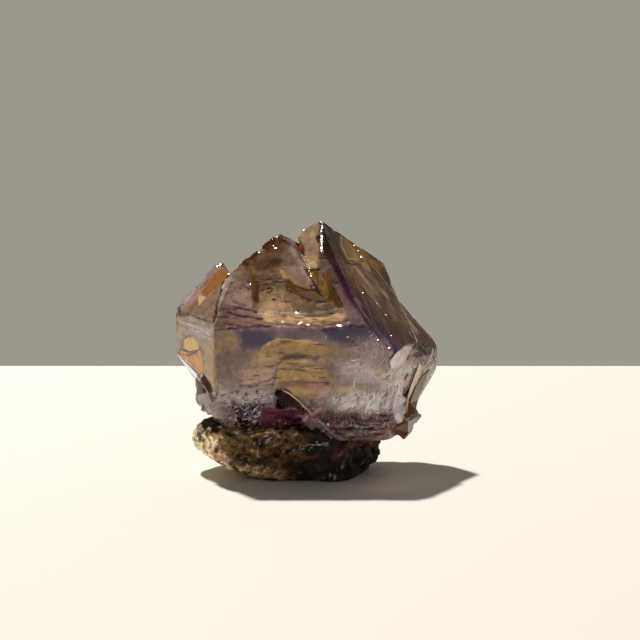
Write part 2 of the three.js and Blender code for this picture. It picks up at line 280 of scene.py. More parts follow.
def along_line(line, spacing):
    """Pixels evenly spaced along a line."""
    steps = np.linalg.norm(np.diff(line, axis=0), axis=1)
    reach = np.concatenate([[0], np.cumsum(steps)])
    places = np.linspace(0, reach[-1], max(2, round(reach[-1] / spacing) + 1))
    return np.stack([np.interp(places, reach, np.array(line, float)[:, k]) for k in (0, 1)], axis=1)


# ---- Meshes ----


def growth_frame(points):
    """Points or normals of the row frame, as (across, deep, high) in the crystals' growth frame."""
    cos, sin = math.cos(FORWARD_LEAN), math.sin(FORWARD_LEAN)
    x, y, z = points.T
    return np.stack([x, y * cos + z * sin, z * cos - y * sin], axis=1)


def crystal_face(azimuth, rise):
    """The outward normal, in the row frame, of a face of the growth frame."""
    azimuth = math.radians(azimuth)
    u, v, w = math.cos(rise) * math.cos(azimuth), math.cos(rise) * math.sin(azimuth), math.sin(rise)
    cos, sin = math.cos(FORWARD_LEAN), math.sin(FORWARD_LEAN)
    return np.array((u, v * cos - w * sin, v * sin + w * cos))


def new_object(name, mesh):
    """An object of the scene."""
    piece = bpy.data.objects.new(name, mesh)
    bpy.context.scene.collection.objects.link(piece)
    return piece


def add_piece(name, mesh, material, sharp=30):
    """A piece of the object with its finish. Edges sharper than sharp degrees stay crisp."""
    piece = new_object(name, mesh)
    mesh.materials.clear()
    mesh.materials.append(material)
    mesh.polygons.foreach_set("use_smooth", [True] * len(mesh.polygons))
    mesh.set_sharp_from_angle(angle=math.radians(sharp))
    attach(piece, "root")
    return piece


def edge_marks(work, sharp, spacing):
    """Points along the edges that are sharper than sharp degrees."""
    marks = []
    for edge in work.edges:
        if len(edge.link_faces) == 2 and edge.calc_face_angle(0) > math.radians(sharp):
            start, end = edge.verts[0].co, edge.verts[1].co
            steps = max(1, round((end - start).length / spacing))
            marks += [start.lerp(end, (i + 0.5) / steps) for i in range(steps)]
    return marks


def fine_copy(node, name, grain):
    """A closed copy of a construction node with an even fine mesh. Also its sharp edges' points."""
    work = bmesh.new()
    work.from_mesh(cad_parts[node].data)
    bmesh.ops.remove_doubles(work, verts=work.verts, dist=1e-6)
    marks = edge_marks(work, 20, grain * 1.5)
    mesh = bpy.data.meshes.new(name)
    work.to_mesh(mesh)
    work.free()
    source = new_object(name + "_source", mesh)
    remesh = source.modifiers.new("even mesh", "REMESH")
    remesh.mode = "VOXEL"
    remesh.voxel_size = grain
    fine = bpy.data.meshes.new_from_object(source.evaluated_get(bpy.context.evaluated_depsgraph_get()))
    bpy.data.objects.remove(source)
    fine.name = name
    return fine, marks


def mesh_arrays(mesh):
    """A mesh's points, in millimetres, and its normals."""
    points = np.empty(len(mesh.vertices) * 3)
    normals = np.empty(len(mesh.vertices) * 3)
    mesh.vertices.foreach_get("co", points)
    mesh.vertex_normals.foreach_get("vector", normals)
    return points.reshape(-1, 3) / MM, normals.reshape(-1, 3)


def set_points(mesh, points):
    """Moves a mesh's points to places in millimetres."""
    mesh.vertices.foreach_set("co", (points * MM).astype(np.float32).ravel())
    mesh.update()


def set_colours(mesh, name, colours):
    """Paints a linear colour on each point of a mesh."""
    layer = mesh.attributes.new(name, "FLOAT_VECTOR", "POINT")
    layer.data.foreach_set("vector", np.ascontiguousarray(colours, float).ravel())


def set_values(mesh, name, values):
    """Paints a number on each point of a mesh."""
    mesh.attributes.new(name, "FLOAT", "POINT").data.foreach_set("value", np.asarray(values, float))


def distance_to(points, others):
    """Each point's distance, in millimetres, from the nearest of the others (in metres)."""
    tree = KDTree(len(others))
    for i, other in enumerate(others):
        tree.insert(other, i)
    tree.balance()
    return np.array([tree.find(p)[2] for p in points * MM]) / MM


def seen_by_camera(mesh, points, slack):
    """1 for each point that the camera sees, 0 for the others. slack allows for rough faces."""
    faces = [tuple(face.vertices) for face in mesh.polygons]
    tree = BVHTree.FromPolygons([Vector(p) for p in points * MM], faces)
    eye = Vector(bpy.context.scene.stage_settings.camera_place)
    seen = np.ones(len(points))
    for i, point in enumerate(points * MM):
        ray = Vector(point) - eye
        distance = tree.ray_cast(eye, ray)[3]
        if distance is None or distance < ray.length - slack:
            seen[i] = 0
    return seen


def surfaces_tree():
    """A search tree of the crystals' and the rock's surfaces."""
    points, faces = [], []
    for name in ("quartz_cluster", "basalt_lump"):
        mesh = bpy.data.objects[name].data
        faces += [tuple(len(points) + k for k in face.vertices) for face in mesh.polygons]
        points += [vertex.co.copy() for vertex in mesh.vertices]
    return BVHTree.FromPolygons(points, faces)


# ---- Finishes ----


def add_node(material, kind, links=None, **settings):
    """Adds a node and gives its outputs. links gives each input a value or another node's output."""
    node = material.node_tree.nodes.new(kind)
    for name, value in settings.items():
        setattr(node, name, value)
    for name, value in (links or {}).items():
        if isinstance(value, bpy.types.NodeSocket):
            material.node_tree.links.new(value, node.inputs[name])
        else:
            node.inputs[name].default_value = value
    return node.outputs


def new_material(name):
    """A material with no nodes yet."""
    material = bpy.data.materials.new(name)
    material.use_nodes = True
    material.node_tree.nodes.clear()
    return material


def healed_cracks(material, place, colour, clear):
    """The colour and the clearness of quartz where cracks in it have healed. They give silky white fibres,
    curved and upright on the whole, with darker gaps between them. Real ones are hair-fine, and these are
    a third of a millimetre wide, so that they show."""
    sway = add_node(
        material, "ShaderNodeTexNoise", {"Vector": place, "Scale": 1 / (3.5 * MM), "Detail": 3.0}
    )["Color"]
    swayed = add_node(
        material, "ShaderNodeVectorMath", {0: sway, 1: [4 * MM] * 3, 2: place}, operation="MULTIPLY_ADD"
    )["Vector"]
    upright = add_node(
        material,
        "ShaderNodeMapping",
        {"Vector": swayed, "Scale": (1 / (0.35 * MM), 1 / (0.6 * MM), 1 / (1.5 * MM))},
    )["Vector"]
    fibres = add_node(
        material, "ShaderNodeTexNoise", {"Vector": upright, "Scale": 1.0, "Detail": 5.0, "Roughness": 0.6}
    )["Fac"]
    white = add_node(
        material, "ShaderNodeMapRange", {"Value": fibres, "From Min": 0.47, "From Max": 0.64}
    )["Result"]
    healed = add_node(material, "ShaderNodeAttribute", attribute_name="wisps")["Fac"]
    white = add_node(material, "ShaderNodeMath", {0: white, 1: healed}, operation="MULTIPLY")["Value"]
    darkest = add_node(
        material, "ShaderNodeMath", {0: healed, 1: -0.4, 2: 1.0}, operation="MULTIPLY_ADD"
    )["Value"]
    gaps = add_node(
        material,
        "ShaderNodeMapRange",
        {"Value": fibres, "From Min": 0.36, "From Max": 0.5, "To Min": darkest, "To Max": 1.0},
    )["Result"]
    shaded = add_node(material, "ShaderNodeHueSaturation", {"Color": colour, "Value": gaps})["Color"]
    silk = (*bpy.context.scene.crystal_settings.silk, 1)
    silky = add_node(
        material, "ShaderNodeMixRGB", {"Fac": white, "Color1": shaded, "Color2": silk}
    )["Color"]
    dulled = add_node(
        material, "ShaderNodeMapRange", {"Value": white, "To Min": clear, "To Max": 0.15}
    )["Result"]
    return silky, dulled


def smoky_quartz():
    """Smoky amethyst as grown: clear deep down, with mottled lilac, iron stains and milky veils under its
    skin, and a faint waviness that breaks up its reflections. The mesh is painted with tint, its colour,
    which on the front also holds painted shade and highlights, with clear, how much light it lets through,
    with frost, how dull its skin is, and with wisps, how full of healed cracks it is."""
    crystal = bpy.context.scene.crystal_settings
    material = new_material("smoky_amethyst")
    place = add_node(material, "ShaderNodeTexCoord")["Object"]
    tint = add_node(material, "ShaderNodeAttribute", attribute_name="tint")["Color"]
    clear = add_node(material, "ShaderNodeAttribute", attribute_name="clear")["Fac"]
    frost = add_node(material, "ShaderNodeAttribute", attribute_name="frost")["Fac"]
    clouds = add_node(
        material,
        "ShaderNodeTexNoise",
        {"Vector": place, "Scale": 1 / (1.3 * MM), "Detail": 8.0, "Roughness": 0.65},
    )["Fac"]
    mottling = add_node(
        material,
        "ShaderNodeMapRange",
        {"Value": clouds, "From Min": 0.33, "From Max": 0.67, "To Min": 0.7, "To Max": 1.3},
    )["Result"]
    mottled = add_node(material, "ShaderNodeHueSaturation", {"Color": tint, "Value": mottling})["Color"]
    colour, clear = healed_cracks(material, place, mottled, clear)
    waves = add_node(
        material, "ShaderNodeTexNoise", {"Vector": place, "Scale": 1 / (0.7 * MM), "Detail": 3.0}
    )["Fac"]
    wavy = add_node(
        material, "ShaderNodeBump", {"Height": waves, "Strength": 0.25, "Distance": 0.05 * MM}
    )["Normal"]
    surface = add_node(
        material,
        "ShaderNodeBsdfPrincipled",
        {
            "Base Color": colour,
            "Roughness": frost,
            "IOR": QUARTZ_IOR,
            "Transmission Weight": clear,
            "Normal": wavy,
        },
    )["BSDF"]
    smoke = add_node(
        material,
        "ShaderNodeVolumeAbsorption",
        {"Color": (*crystal.smoke, 1), "Density": crystal.smoke_density},
    )["Volume"]
    add_node(material, "ShaderNodeOutputMaterial", {"Surface": surface, "Volume": smoke})
    return material


def small_quartz(name, roughness, clear):
    """Small pieces of quartz: glassy and clouded, each in its own tint."""
    material = new_material(name)
    tint = add_node(material, "ShaderNodeAttribute", attribute_name="tint")["Color"]
    surface = add_node(
        material,
        "ShaderNodeBsdfPrincipled",
        {"Base Color": tint, "Roughness": roughness, "IOR": QUARTZ_IOR, "Transmission Weight": clear},
    )["BSDF"]
    add_node(material, "ShaderNodeOutputMaterial", {"Surface": surface})
    return material


def druse_quartz():
    """Small quartz crystals of a crust: cloudy, with bright facets."""
    return small_quartz("druse_quartz", 0.12, 0.45)


def quartz_flakes():
    """Flakes of broken quartz: bright, glassy and a little rough, so each one glints."""
    return small_quartz("quartz_flakes", 0.22, 0.3)


def weathered_basalt():
    """Weathered basalt, broken: dull, rough and dark brown, speckled grain by grain. Its real grains are
    finer than they are here, half a millimetre, so that they show."""
    material = new_material("weathered_basalt")
    place = add_node(material, "ShaderNodeTexCoord")["Object"]
    tint = add_node(material, "ShaderNodeAttribute", attribute_name="tint")["Color"]
    grains = add_node(
        material, "ShaderNodeTexNoise", {"Vector": place, "Scale": 1 / (0.5 * MM), "Detail": 6.0}
    )["Fac"]
    speckles = add_node(
        material,
        "ShaderNodeMapRange",
        {"Value": grains, "From Min": 0.35, "From Max": 0.65, "To Min": 0.45, "To Max": 1.6},
    )["Result"]
    speckled = add_node(material, "ShaderNodeHueSaturation", {"Color": tint, "Value": speckles})["Color"]
    rough = add_node(
        material, "ShaderNodeBump", {"Height": grains, "Strength": 0.8, "Distance": 0.25 * MM}
    )["Normal"]
    surface = add_node(
        material,
        "ShaderNodeBsdfPrincipled",
        {"Base Color": speckled, "Roughness": 0.72, "Normal": rough},
    )["BSDF"]
    add_node(material, "ShaderNodeOutputMaterial", {"Surface": surface})
    return material


def painted_board():
    """Smooth board, painted: pale and matt, with no pattern."""
    colour = (*bpy.context.scene.stage_settings.table_colour, 1)
    material = new_material("painted_board")
    surface = add_node(
        material, "ShaderNodeBsdfPrincipled", {"Base Color": colour, "Roughness": 0.7}
    )["BSDF"]
    add_node(material, "ShaderNodeOutputMaterial", {"Surface": surface})
    return material


# ---- The crystals' relief and colours ----


def rounded(mesh, points, amount, times):
    """The points moved towards the middle of their neighbours, times over, by an amount for each."""
    edges = np.empty(len(mesh.edges) * 2, int)
    mesh.edges.foreach_get("vertices", edges)
    first, last = edges.reshape(-1, 2).T
    ends, others = np.concatenate([first, last]), np.concatenate([last, first])
    count = np.bincount(ends, minlength=len(points))
    points = points.copy()
    for _ in range(times):
        total = np.stack([np.bincount(ends, points[others, k], len(points)) for k in range(3)], axis=1)
        points += (total / count[:, None] - points) * amount[:, None]
    return points


def on_right_tip(points, normals):
    """How far each point lies on the right-hand tip face, and its place along that face's growth lines,
    which run down its edge with the upper face, and across them."""
    normal = crystal_face(-30, RHOMB_RISE)
    along = unit(np.cross(crystal_face(-90, RHOMB_RISE), normal))
    across = np.cross(normal, along)
    return ramp(normals @ normal, 0.9, 0.97), np.stack([points @ along, points @ across, points @ normal], 1)


def on_prism(normals):
    """How far each point lies on an upright face of the crystals."""
    return 1 - ramp(np.abs(growth_frame(normals)[:, 2]), 0.15, 0.35)


def growth_grain(points, normals):
    """Streaks along each face's growth lines, from about -1 to 1."""
    place = growth_frame(points)
    tip, along_tip = on_right_tip(points, normals)
    level = rough_noise(place, (9, 9, 1.3), 81)
    slanting = rough_noise(along_tip, (11, 1.3, 20), 83)
    clouds = rough_noise(place, 3.2, 85)
    return 0.5 * clouds + on_prism(normals) * 0.6 * level + tip * 1.3 * slanting


def crystal_relief(points, normals, from_edge):
    """How far each point of the crystals sinks below its flat face, in millimetres."""
    crystal = bpy.context.scene.crystal_settings
    place = growth_frame(points)
    sunk = 0.05 * (1 + noise(place, 5.0, 1))
    lines = rough_noise(place, (11, 11, 0.9), 2)
    patch = ramp(noise(place, 9.0, 5), -0.5, 0.5)
    sunk += crystal.striation / MM * on_prism(normals) * (0.4 + 0.6 * patch) * (1 + lines)
    tip, along_tip = on_right_tip(points, normals)
    sunk += crystal.tip_grooves / MM * tip * (1 + rough_noise(along_tip, (16, 2.2, 30), 9))
    # Chips bite into the edges, less so at the back.
    bites = ramp(rough_noise(place, 2.3, 11), 0.08, 0.6) * (1 - 0.6 * ramp(place[:, 1], 1.0, 6.0))
    sunk += crystal.chips / MM * bites * (1 - ramp(from_edge, 0.2, 1.3))
    return sunk


def hollows(pixels, seen):
    """How far each point of the front is sunk in the hollows at the crystals' foot, in millimetres."""
    sunk = np.zeros(len(pixels))
    for depth, outline in HOLLOWS.values():
        top, foot = np.min(outline, axis=0)[1], np.max(outline, axis=0)[1]
        slope = np.clip((foot - pixels[:, 1]) / (foot - top), 0, 1)
        sunk = np.maximum(sunk, depth * slope * ramp(within(pixels, outline), 0, 3))
    return sunk * seen


def deep(code):
    """The tint that makes quartz look like an sRGB colour when light comes both through it and onto it."""
    tint = TINT_GAIN * np.array(linear(code)) ** TINT_POWER
    return tint * min(1, PALEST / tint.max())


def lay(colours, at, tint, mask):
    """Lays a tint on some of the colours. They are kept as square roots, as the eye grades them."""
    colours[at] += (np.sqrt(tint) - colours[at]) * mask[:, None]


def lay_stains_and_shade(firm, loose, fine, colours, clear):
    """Lays the stains on, and the painted shade among them. Soft ones get a loose rim and the others a firm
    one.
    """
    for tone, strength, cleared, soft, outline in STAINS_AND_SHADE.values():
        places = loose if soft > 2.2 else firm
        at = near_outline(places, outline, 2 * soft)
        mask = ramp(within(places[at], outline) + 0.8 * fine[at], -1.5 * soft, 1.5 * soft) * strength
        lay(colours, at, deep(TONES[tone]), mask)
        clear[at] += (cleared - clear[at]) * mask


def lay_streaks(points, pixels, colours):
    """Lays the fields of streaks on. Each field's streaks run one way."""
    for tone, strength, slope, length, width, share, outline in STREAKS.values():
        at = near_outline(pixels, outline, 6)
        slope = math.radians(slope)
        along = pixels[at] @ (math.cos(slope), -math.sin(slope))
        across = pixels[at] @ (math.sin(slope), math.cos(slope))
        lie = np.stack([along, across, 3 * points[at, 1]], axis=1)
        streak = 0.7 * noise(lie, (length, width, 9), 63) + 0.3 * noise(lie, (length / 2, width / 2, 5), 65)
        mask = ramp(streak, 0.62 - share, 0.92 - share) * ramp(within(pixels[at], outline), -3, 3) * strength
        lay(colours, at, deep(TONES[tone]), mask)


def lay_lines(firm, fine, colours, clear):
    """Lays the thin lines on, painted highlights and shade among them."""
    for tone, strength, width, line in LINES.values():
        at = near_outline(firm, line, 2 * width)
        away = from_line(firm[at], line) + 0.6 * fine[at]
        mask = (1 - ramp(away, width * 0.4, width * 1.3)) * strength
        lay(colours, at, deep(TONES[tone]), mask)
        clear[at] -= 0.3 * mask * clear[at]


def paint_front(points, pixels, colours, clear):
    """Lays all that is drawn on the front on its colours, and on how clear each point is."""
    firm, fine = unsteady(points, pixels, 1.1, 21), rough_noise(points, 0.8, 23)
    lay_stains_and_shade(firm, unsteady(points, pixels, 5.0, 31), fine, colours, clear)
    lay_streaks(points, pixels, colours)
    lay_lines(firm, fine, colours, clear)


def healed(points, pixels):
    """How full of healed cracks each point of the front is, from 0 to 1."""
    ragged = rough_noise(points, 2.4, 21)
    full = np.zeros(len(points))
    for strength, outline in WISPS.values():
        full = np.maximum(full, strength * ramp(within(pixels, outline) + 3 * ragged, -3, 5))
    clumps = ramp(rough_noise(points, 3.0, 91), -0.35, 0.35)
    return full * (0.35 + 0.65 * clumps)


def paint_crystals(mesh, points, pixels, normals, seen):
    """Paints where the quartz is lilac, stained or milky under its surface and where it is frosted, and on
    the front some painted shade and highlights.
    """
    place = growth_frame(points)
    behind = ramp(place[:, 1], 1.0, 9.0)
    tint = np.tile(np.sqrt(bpy.context.scene.crystal_settings.clear_colour), (len(points), 1))
    for tone, mask in (
        ("milk", 0.35 * behind),
        ("tan", ramp(noise(place, 13.0, 31), -0.1, 0.5) * (0.3 + 0.5 * behind)),
        ("violet", 0.5 * ramp(noise(place, (9, 9, 6), 38), 0.15, 0.6) * behind),
        ("mauve", ramp(noise(place, 11.0, 37), 0.0, 0.6) * 0.8),
    ):
        lay(tint, EVERYWHERE, linear(TONES[tone]), mask)
    clear = 0.93 * (1 - 0.2 * behind)
    front, front_clear = tint.copy(), clear.copy()
    paint_front(points, pixels, front, front_clear)
    tint += (front - tint) * seen[:, None]
    clear += (front_clear - clear) * seen
    tint *= (1 + 0.17 * growth_grain(points, normals))[:, None]
    set_colours(mesh, "tint", np.clip(tint, 0, 1) ** 2)
    set_values(mesh, "clear", clear)
    set_values(mesh, "frost", 0.08 + 0.17 * behind)
    set_values(mesh, "wisps", healed(points, pixels) * seen)


# ---- What lies where on the front ----


# The tones of the stained quartz, and of its painted shade and highlights, as the eye sees them in daylight.
TONES = {
    "ink": "#140a10",
    "plum": "#34102e",
    "violet": "#33204c",
    "mauve": "#775a68",
    "rose": "#a87e80",
    "taupe": "#8a7062",
    "grey_lilac": "#8b7d80",
    "milk": "#bdb0aa",
    "frost": "#ece3e4",
    "smoke": "#57443a",
    "khaki": "#645240",
    "sepia": "#674a2c",
    "bistre": "#4a2e0e",
    "umber": "#38200e",
    "olive": "#77643a",
    "drab": "#8d7a68",
    "bronze": "#725216",
    "dusk": "#6f5a5e",
    "ash": "#aaa2a6",
    "tan": "#a98f6c",
    "cream": "#dcc4a0",
    "gold": "#9c8250",
    "honey": "#b29560",
    "straw": "#d8b868",
    "amber": "#7e5014",
    "dark_amber": "#54330a",
    "goethite": "#b8881e",
    "rust": "#6e3414",
    "wine": "#5c2444",
    "oxblood": "#3a120e",
    "garnet": "#6c4250",
    "grape": "#866272",
}

# Where the quartz that faces the front is stained, cloudy or lilac under its surface, and where shade is
# painted on it: the entries named for shade, and those marked below. Each has its tone, its strength, how
# clear it leaves the quartz, the softness of its rim and its outline, in pixels.
STAINS_AND_SHADE = {
    # The broad upper face, with a window sunk in its middle.
    "upper_face": ("drab", 1.0, 0.45, 2, [(210, 326), (232, 268), (275, 233), (292, 240), (306, 270),
        (330, 258), (352, 298), (366, 322), (366, 330), (210, 332)]),
    "upper_left_cloud": ("grey_lilac", 0.4, 0.55, 9, [(226, 284), (244, 276), (250, 300), (228, 306)]),
    "upper_top_stain": ("sepia", 0.5, 0.45, 4, [(244, 264), (262, 246), (276, 235), (284, 240),
        (282, 256), (262, 262)]),
    "upper_top_red": ("rust", 0.4, 0.45, 2.5, [(260, 250), (272, 237), (280, 238), (282, 247), (268, 252)]),
    "brown_band": ("sepia", 0.8, 0.45, 1.8, [(252, 262), (264, 258), (281, 259), (281, 268), (256, 271)]),
    "plate_rim": ("milk", 0.55, 0.4, 1.5, [(288, 240), (293, 243), (300, 256), (307, 270), (313, 284),
        (308, 284), (298, 264), (290, 250)]),
    "plate": ("taupe", 0.8, 0.4, 2.2, [(283, 257), (296, 261), (308, 282), (314, 291), (298, 287),
        (286, 276)]),
    "window_floor": ("tan", 0.9, 0.35, 2.2, [(259, 284), (284, 283), (296, 292), (312, 299), (324, 304),
        (322, 310), (262, 312), (257, 302)]),
    "window_shade": ("olive", 0.35, 0.45, 3, [(259, 286), (276, 286), (280, 296), (264, 300)]),
    "window_upper_shade": ("sepia", 0.3, 0.45, 2.5, [(257, 276), (280, 274), (286, 284), (258, 284)]),
    "tan_ledge": ("tan", 0.95, 0.35, 1.5, [(258, 308), (268, 313), (298, 315), (322, 312), (344, 308),
        (343, 321), (318, 324), (282, 323), (264, 321)]),
    "tan_ledge_light": ("cream", 0.5, 0.3, 2.5, [(268, 314), (300, 316), (322, 313), (341, 310),
        (340, 317), (300, 320), (272, 319)]),
    "left_wall": ("bronze", 0.97, 0.25, 0.9, [(252, 281), (258, 281), (259, 304), (253, 298)]),
    "left_wall_top": ("bronze", 0.7, 0.3, 1.2, [(244, 264), (249, 263), (257, 281), (252, 282)]),
    "plate_underside": ("amber", 0.97, 0.3, 1.1, [(285, 280), (300, 287), (314, 291), (327, 300),
        (312, 300), (298, 294), (287, 288)]),
    "right_wall": ("bronze", 0.95, 0.25, 1.1, [(326, 272), (330, 272), (333, 286), (343, 307), (338, 310),
        (328, 297)]),
    "right_wall_inner": ("sepia", 0.6, 0.5, 2, [(326, 284), (332, 290), (336, 306), (328, 302)]),
    "mauve_facet": ("dusk", 0.95, 0.45, 2, [(327, 258), (335, 270), (350, 296), (364, 320), (350, 326),
        (344, 308), (336, 290), (329, 276)]),
    "grey_corner": ("grey_lilac", 0.5, 0.6, 4, [(344, 308), (356, 308), (362, 320), (346, 324)]),
    "lower_left_lilac": ("mauve", 0.4, 0.55, 6, [(214, 306), (240, 304), (258, 314), (262, 326),
        (214, 330)]),
    # The summit and the cleft beside it.
    "summit_facet": ("tan", 0.95, 0.4, 1.2, [(296, 238), (304, 227), (319, 219), (320, 254), (314, 270),
        (305, 269), (302, 250)]),
    "summit_facet_grey": ("grey_lilac", 0.5, 0.5, 3, [(306, 230), (318, 224), (318, 250), (310, 262),
        (304, 250)]),
    "summit_foot": ("cream", 0.45, 0.35, 3, [(302, 250), (314, 256), (316, 268), (306, 268)]),
    "red_facet": ("oxblood", 0.9, 0.5, 1.0, [(295, 238), (299, 238), (304, 246), (305, 254), (298, 250)]),
    "dark_spot": ("ink", 0.9, 0.7, 0.8, [(316, 236), (320, 235), (321, 242), (317, 243)]),
    # Partly the amber stain, partly painted shade in the notch beside the summit.
    "cleft": ("bronze", 0.97, 0.35, 1.3, [(304, 268), (318, 269), (328, 276), (327, 297), (320, 298),
        (312, 286)]),
    "cleft_amber": ("honey", 0.5, 0.3, 1.0, [(326, 274), (329, 274), (327, 292), (323, 290)]),
    "cleft_blue": ("dusk", 0.9, 0.5, 1.2, [(317, 262), (326, 262), (325, 280), (320, 280)]),
    # Painted shade deep in the notch beside the summit.
    "cleft_shade": ("umber", 0.9, 0.4, 1.2, [(312, 278), (318, 288), (324, 298), (318, 299), (310, 288)]),
    "below_summit": ("smoke", 0.8, 0.5, 2, [(319, 250), (328, 256), (329, 270), (318, 268)]),
    # The right-hand tip face: brown and olive, with a dark purple band along its edge with the front.
    "right_tip": ("bistre", 1.0, 0.15, 1.5, [(321, 218), (340, 224), (372, 246), (400, 288), (444, 344),
        (430, 350), (404, 345), (394, 352), (372, 330), (334, 270), (322, 250)]),
    "tip_brown": ("umber", 0.7, 0.3, 2.5, [(321, 219), (334, 224), (341, 238), (341, 258), (332, 264),
        (322, 250)]),
    "tip_plum": ("plum", 0.4, 0.6, 2, [(322, 226), (328, 228), (330, 246), (324, 248)]),
    "olive_plate": ("olive", 0.95, 0.2, 1.2, [(340, 235), (349, 237), (360, 246), (368, 257), (358, 260),
        (350, 258), (343, 249)]),
    "golden_rim": ("bronze", 0.95, 0.2, 1.3, [(345, 229), (360, 239), (373, 251), (384, 266), (378, 270),
        (362, 256), (350, 238)]),
    "tip_lights": ("drab", 0.5, 0.2, 3.5, [(345, 262), (364, 262), (380, 280), (392, 300), (400, 322),
        (388, 316), (372, 300), (356, 282)]),
    "tip_mauve": ("plum", 0.6, 0.3, 3.5, [(376, 296), (388, 296), (393, 312), (382, 312)]),
    "tip_right_shade": ("umber", 0.5, 0.3, 3, [(380, 268), (388, 272), (396, 292), (388, 290)]),
    "tip_olive": ("khaki", 0.6, 0.25, 3.5, [(390, 298), (400, 302), (412, 320), (404, 326), (394, 312)]),
    "tip_lower_shade": ("umber", 0.9, 0.25, 2.5, [(397, 325), (412, 325), (426, 338), (412, 344),
        (401, 337)]),
    "purple_band": ("plum", 1.0, 0.2, 1.8, [(329, 258), (334, 260), (346, 278), (362, 300), (376, 318),
        (386, 332), (374, 330), (360, 314), (346, 296)]),
    "purple_band_light": ("plum", 0.85, 0.4, 2.5, [(352, 294), (362, 302), (384, 326), (398, 340),
        (390, 343), (374, 330)]),
    # The broad front face.
    "front_face": ("grey_lilac", 1.0, 0.55, 2, [(210, 328), (262, 326), (366, 324), (402, 348),
        (396, 376), (392, 416), (318, 414), (276, 410), (210, 414)]),
    "front_warmth": ("taupe", 0.6, 0.55, 10, [(218, 346), (330, 346), (346, 366), (320, 390), (224, 384)]),
    "front_purple_left": ("violet", 0.95, 0.35, 4, [(234, 328), (274, 328), (272, 342), (260, 349),
        (246, 349), (238, 340)]),
    "front_purple_dark": ("plum", 0.55, 0.7, 3, [(240, 332), (250, 331), (250, 340), (243, 342)]),
    "front_purple_middle": ("mauve", 0.55, 0.6, 4, [(270, 329), (328, 329), (324, 340), (274, 338)]),
    "front_purple_right": ("violet", 1.0, 0.3, 3.5, [(322, 330), (346, 325), (372, 322), (376, 334),
        (362, 344), (344, 347), (328, 342)]),
    "front_purple_deep": ("plum", 0.5, 0.3, 3.5, [(330, 329), (352, 327), (356, 338), (340, 343)]),
    "corner_purple": ("violet", 0.95, 0.3, 3, [(366, 322), (382, 330), (402, 346), (394, 356), (384, 346)]),
    "front_rose": ("rose", 0.45, 0.5, 8, [(346, 346), (366, 340), (386, 352), (382, 368), (356, 368)]),
    "gold_shoulder": ("gold", 0.75, 0.4, 4, [(216, 330), (228, 330), (238, 340), (232, 352), (217, 352)]),
    "tan_round_lens": ("tan", 0.5, 0.45, 4, [(252, 352), (330, 352), (334, 366), (270, 366)]),
    "gold_tongue": ("gold", 0.95, 0.3, 1.2, [(256, 356), (258, 349), (266, 343), (275, 340), (290, 339),
        (312, 341), (322, 345), (334, 351), (318, 356), (295, 354), (286, 354), (276, 358), (264, 361)]),
    "tongue_lobe": ("honey", 0.6, 0.3, 2, [(256, 352), (276, 350), (280, 358), (266, 361)]),
    "tongue_top": ("honey", 0.6, 0.3, 1.8, [(266, 344), (282, 340), (314, 342), (318, 347), (280, 347)]),
    "tongue_shade": ("umber", 0.95, 0.4, 1.2, [(278, 360), (286, 355), (296, 354), (320, 356), (316, 360),
        (296, 359)]),
    "gold_lens": ("gold", 0.95, 0.3, 1.2, [(276, 360), (292, 360), (306, 360), (318, 364), (327, 371),
        (333, 380), (332, 390), (325, 397), (314, 400), (300, 398), (288, 391), (278, 388), (275, 374)]),
    "lens_upper": ("honey", 0.5, 0.3, 3, [(278, 362), (314, 363), (324, 374), (282, 376)]),
    "lens_middle": ("sepia", 0.7, 0.35, 1.5, [(278, 381), (326, 380), (332, 384), (318, 388), (280, 387)]),
    "lens_foot": ("umber", 0.6, 0.4, 1.5, [(296, 397), (314, 400), (324, 397), (312, 403)]),
    "gold_streak": ("honey", 0.7, 0.35, 2, [(330, 390), (344, 386), (358, 385), (366, 387), (358, 392),
        (338, 395)]),
    "front_cloud": ("smoke", 0.45, 0.6, 8, [(232, 350), (250, 352), (250, 368), (236, 372)]),
    "front_tan": ("tan", 0.7, 0.45, 5, [(250, 356), (276, 358), (274, 384), (248, 388), (244, 374)]),
    "front_gold_right": ("gold", 0.5, 0.45, 5, [(322, 344), (346, 346), (350, 356), (322, 360)]),
    "front_milk": ("frost", 1.0, 0.15, 5, [(332, 394), (350, 390), (392, 392), (388, 413), (338, 413)]),
    "front_milk_upper": ("milk", 0.6, 0.4, 4, [(334, 362), (366, 362), (380, 372), (372, 382), (342, 378)]),
    "lens_pink": ("rose", 0.7, 0.4, 3, [(306, 386), (324, 381), (332, 388), (326, 397), (312, 399)]),
    # The left crystal.
    "left_tip": ("taupe", 0.95, 0.3, 1.3, [(172, 320), (222, 258), (234, 268), (226, 282), (212, 324)]),
    "left_tip_rose": ("rose", 0.3, 0.3, 3, [(190, 298), (214, 266), (220, 266), (206, 290), (196, 302)]),
    "left_tip_orange": ("bronze", 0.97, 0.2, 1.6, [(218, 270), (228, 270), (226, 279), (214, 289),
        (206, 296), (201, 292), (208, 283)]),
    "left_tip_rust": ("rust", 0.75, 0.3, 1.5, [(220, 261), (226, 261), (233, 269), (228, 272), (221, 266)]),
    "left_tip_olive": ("khaki", 0.7, 0.3, 3, [(184, 306), (200, 300), (222, 284), (213, 322), (184, 314)]),
    "left_face": ("drab", 1.0, 0.35, 1.2, [(172, 318), (194, 314), (214, 322), (217, 332), (217, 394),
        (203, 380), (176, 360)]),
    "left_face_light": ("ash", 0.5, 0.35, 3, [(180, 318), (204, 322), (212, 334), (206, 342), (186, 334)]),
    "left_face_honey": ("gold", 0.6, 0.3, 2.2, [(203, 336), (216, 334), (218, 392), (209, 384)]),
    "left_stain": ("bronze", 0.97, 0.2, 1.2, [(179, 348), (184, 336), (195, 335), (201, 348), (203, 378),
        (191, 367), (179, 356)]),
    "left_stain_pale": ("cream", 0.85, 0.15, 1.6, [(184, 338), (194, 336), (200, 346), (190, 350),
